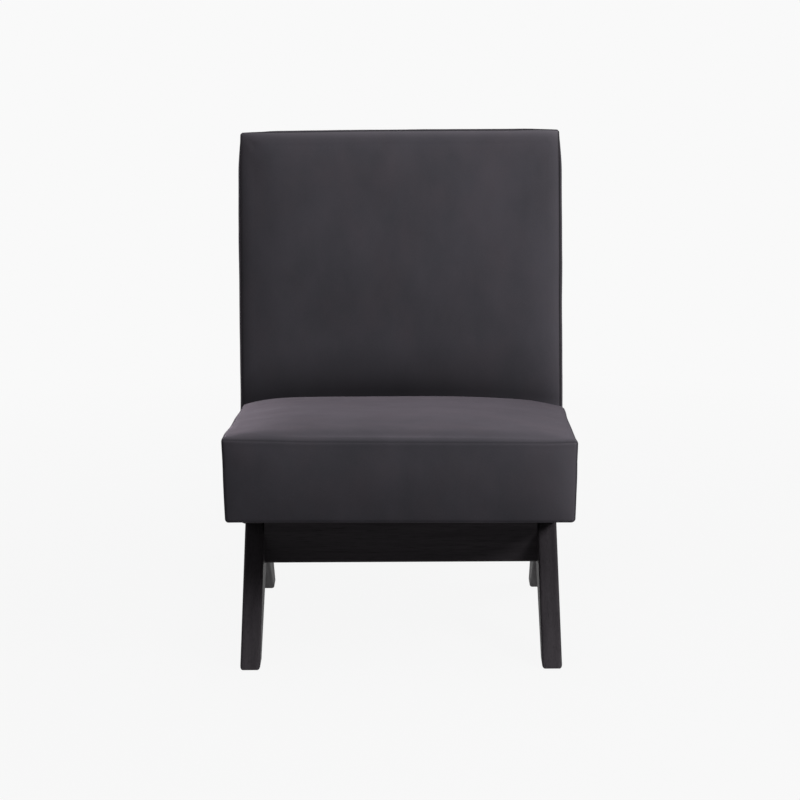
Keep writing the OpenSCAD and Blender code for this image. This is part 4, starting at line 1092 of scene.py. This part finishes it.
class CHAIR_OT_frame_finish(bpy.types.Operator):
    """Give the hidden frames, dowels and blocks their beech"""

    bl_idname = "chair.frame_finish"
    bl_label = "Frame finish"

    def execute(self, context):
        for name, turn, nodes in (
            ("planed_beech_across", (0, math.pi / 2, 0), [
                "seat_front_rail", "seat_rear_rail", "back_top_rail", "back_tacking_rail",
                "back_bottom_rail", "back_frame_dowels", "apron_dowels", "cross_rail_dowels"]),
            ("planed_beech_front_to_rear", (-math.pi / 2, 0, 0), [
                "seat_left_rail", "seat_right_rail", "seat_frame_dowels", "leg_joint_dowels",
                "seat_corner_blocks"]),
            ("planed_beech_upright", (-chair().back_rake, 0, 0), [
                "back_left_upright", "back_right_upright", "back_bolt_blocks", "bearer_dowels"]),
        ):
            finish_nodes(nodes, make_material(name, planed_beech, turn))
        return {"FINISHED"}


class CHAIR_OT_hardware_finish(bpy.types.Operator):
    """Plate the screws, bolts and staples, and give the glides their nylon"""

    bl_idname = "chair.hardware_finish"
    bl_label = "Hardware finish"

    def execute(self, context):
        zinc = make_material("zinc_plated_steel", zinc_plate, "#B4B4B2", 0.32)
        finish_nodes(["base_screws", "base_screw_washers", "corner_block_screws", "seat_webbing_staples",
                      "dust_cover_staples", "back_bolts", "back_bolt_washers", "back_tee_nuts",
                      "back_webbing_staples"], zinc)
        finish_nodes(["back_tack_strips"], make_material("galvanised_strip", zinc_plate, "#8E8F90", 0.45))
        finish_nodes(["foot_glides"], make_material("moulded_nylon", moulded_nylon))
        return {"FINISHED"}


# Stage


class CHAIR_OT_stage(bpy.types.Operator):
    """Set up the floor, the pale surroundings, three lamps and the camera"""

    bl_idname = "chair.stage"
    bl_label = "Stage"

    def execute(self, context):
        look = context.scene.chair_set
        self.floor(look)
        self.surroundings(context.scene, look)
        # Name, place, size, watts, and the point that it faces
        lamp("overhead_softbox", (0.1, -0.20, 2.6), (1.6, 1.1), 40, (0.0, -0.15, 0.35))
        lamp("front_softbox", (0.5, -1.9, 2.1), (1.2, 0.8), 12, (0.0, 0.0, 0.35))
        lamp("right_softbox", (1.60, -1.02, 1.42), (0.7, 0.7), 39, (0.0, 0.0, 0.35))
        self.camera(context.scene, look)
        context.scene.view_settings.view_transform = "Standard"
        return {"FINISHED"}

    @staticmethod
    def floor(look):
        half = 60.0
        corners = half * np.array([(-1, -1, 0), (1, -1, 0), (1, 1, 0), (-1, 1, 0)])
        floor = new_piece("studio_floor", corners, [(0, 1, 2, 3)], flat=True)
        floor.data.materials.append(make_material("painted_studio_floor", studio_paint, look.backdrop))

    @staticmethod
    def surroundings(scene, look):
        world = bpy.data.worlds.new("pale_studio")
        scene.world = world
        world.use_nodes = True
        tree = world.node_tree
        tree.nodes.clear()
        light = add_node(tree, "ShaderNodeBackground", {"Color": (1, 1, 1, 1), "Strength": 0.26})
        shown = add_node(tree, "ShaderNodeBackground", {"Color": colour(look.backdrop), "Strength": 1.0})
        mixed = add_node(tree, "ShaderNodeMixShader", {0: seen_directly(tree), 1: light, 2: shown})
        add_node(tree, "ShaderNodeOutputWorld", {"Surface": mixed})

    @staticmethod
    def camera(scene, look):
        yaw, pitch, roll = look.camera_yaw, look.camera_pitch, look.camera_roll
        level = math.cos(pitch)
        ahead = np.array([-math.sin(yaw) * level, math.cos(yaw) * level, -math.sin(pitch)])
        right = np.array([math.cos(yaw), math.sin(yaw), 0.0])
        up = np.cross(right, ahead)
        side = right * math.cos(roll) + up * math.sin(roll)
        top = -right * math.sin(roll) + up * math.cos(roll)
        data = bpy.data.cameras.new("camera")
        data.lens, data.sensor_width = look.focal_length, 36.0
        data.clip_end = 200.0
        scene.camera = stand("camera", data, look.camera_place, (side, top, -ahead))


def stand(name, data, place, axes):
    """Links a lamp or camera at place, turned so that its X, Y and Z are axes."""
    made = bpy.data.objects.new(name, data)
    bpy.context.scene.collection.objects.link(made)
    turn = Matrix(np.column_stack(axes).tolist())
    made.matrix_world = Matrix.Translation(place) @ turn.to_4x4()
    return made


def lamp(name, place, size, watts, target):
    """An area lamp that faces its target."""
    data = bpy.data.lights.new(name, "AREA")
    data.shape, data.energy = "RECTANGLE", watts
    data.size, data.size_y = size
    way = np.array(place, float) - np.array(target, float)
    way /= np.linalg.norm(way)
    side = np.cross((0.0, 0.0, 1.0), way)
    side /= np.linalg.norm(side)
    stand(name, data, place, (side, np.cross(way, side), way))


# Panel

GROUPS = {"chair_shape": ChairShape, "chair_colours": ChairColours, "chair_set": ChairSet}
OPERATORS = (
    CHAIR_OT_seat_cushion, CHAIR_OT_back_cushion, CHAIR_OT_padding, CHAIR_OT_springing, CHAIR_OT_sheets,
    CHAIR_OT_base_finish, CHAIR_OT_frame_finish, CHAIR_OT_hardware_finish, CHAIR_OT_stage,
)


class CHAIR_PT_panel(bpy.types.Panel):
    """The chair's pieces, sizes and colours in the sidebar"""

    bl_idname = "CHAIR_PT_panel"
    bl_label = "Armless lounge chair"
    bl_space_type = "VIEW_3D"
    bl_region_type = "UI"
    bl_category = "Chair"

    def draw(self, context):
        for key, group in GROUPS.items():
            values = getattr(context.scene, key)
            for name in group.__annotations__:
                self.layout.prop(values, name)
        for operator in OPERATORS:
            self.layout.operator(operator.bl_idname)


def register():
    for item in (*GROUPS.values(), *OPERATORS, CHAIR_PT_panel):
        bpy.utils.register_class(item)
    for key, group in GROUPS.items():
        setattr(bpy.types.Scene, key, bpy.props.PointerProperty(type=group))


def unregister():
    for key in GROUPS:
        delattr(bpy.types.Scene, key)
    for item in reversed((*GROUPS.values(), *OPERATORS, CHAIR_PT_panel)):
        bpy.utils.unregister_class(item)


def main():
    register()
    for operator in OPERATORS:
        group, name = operator.bl_idname.split(".")
        getattr(getattr(bpy.ops, group), name)()


if __name__ == "__main__":
    main()
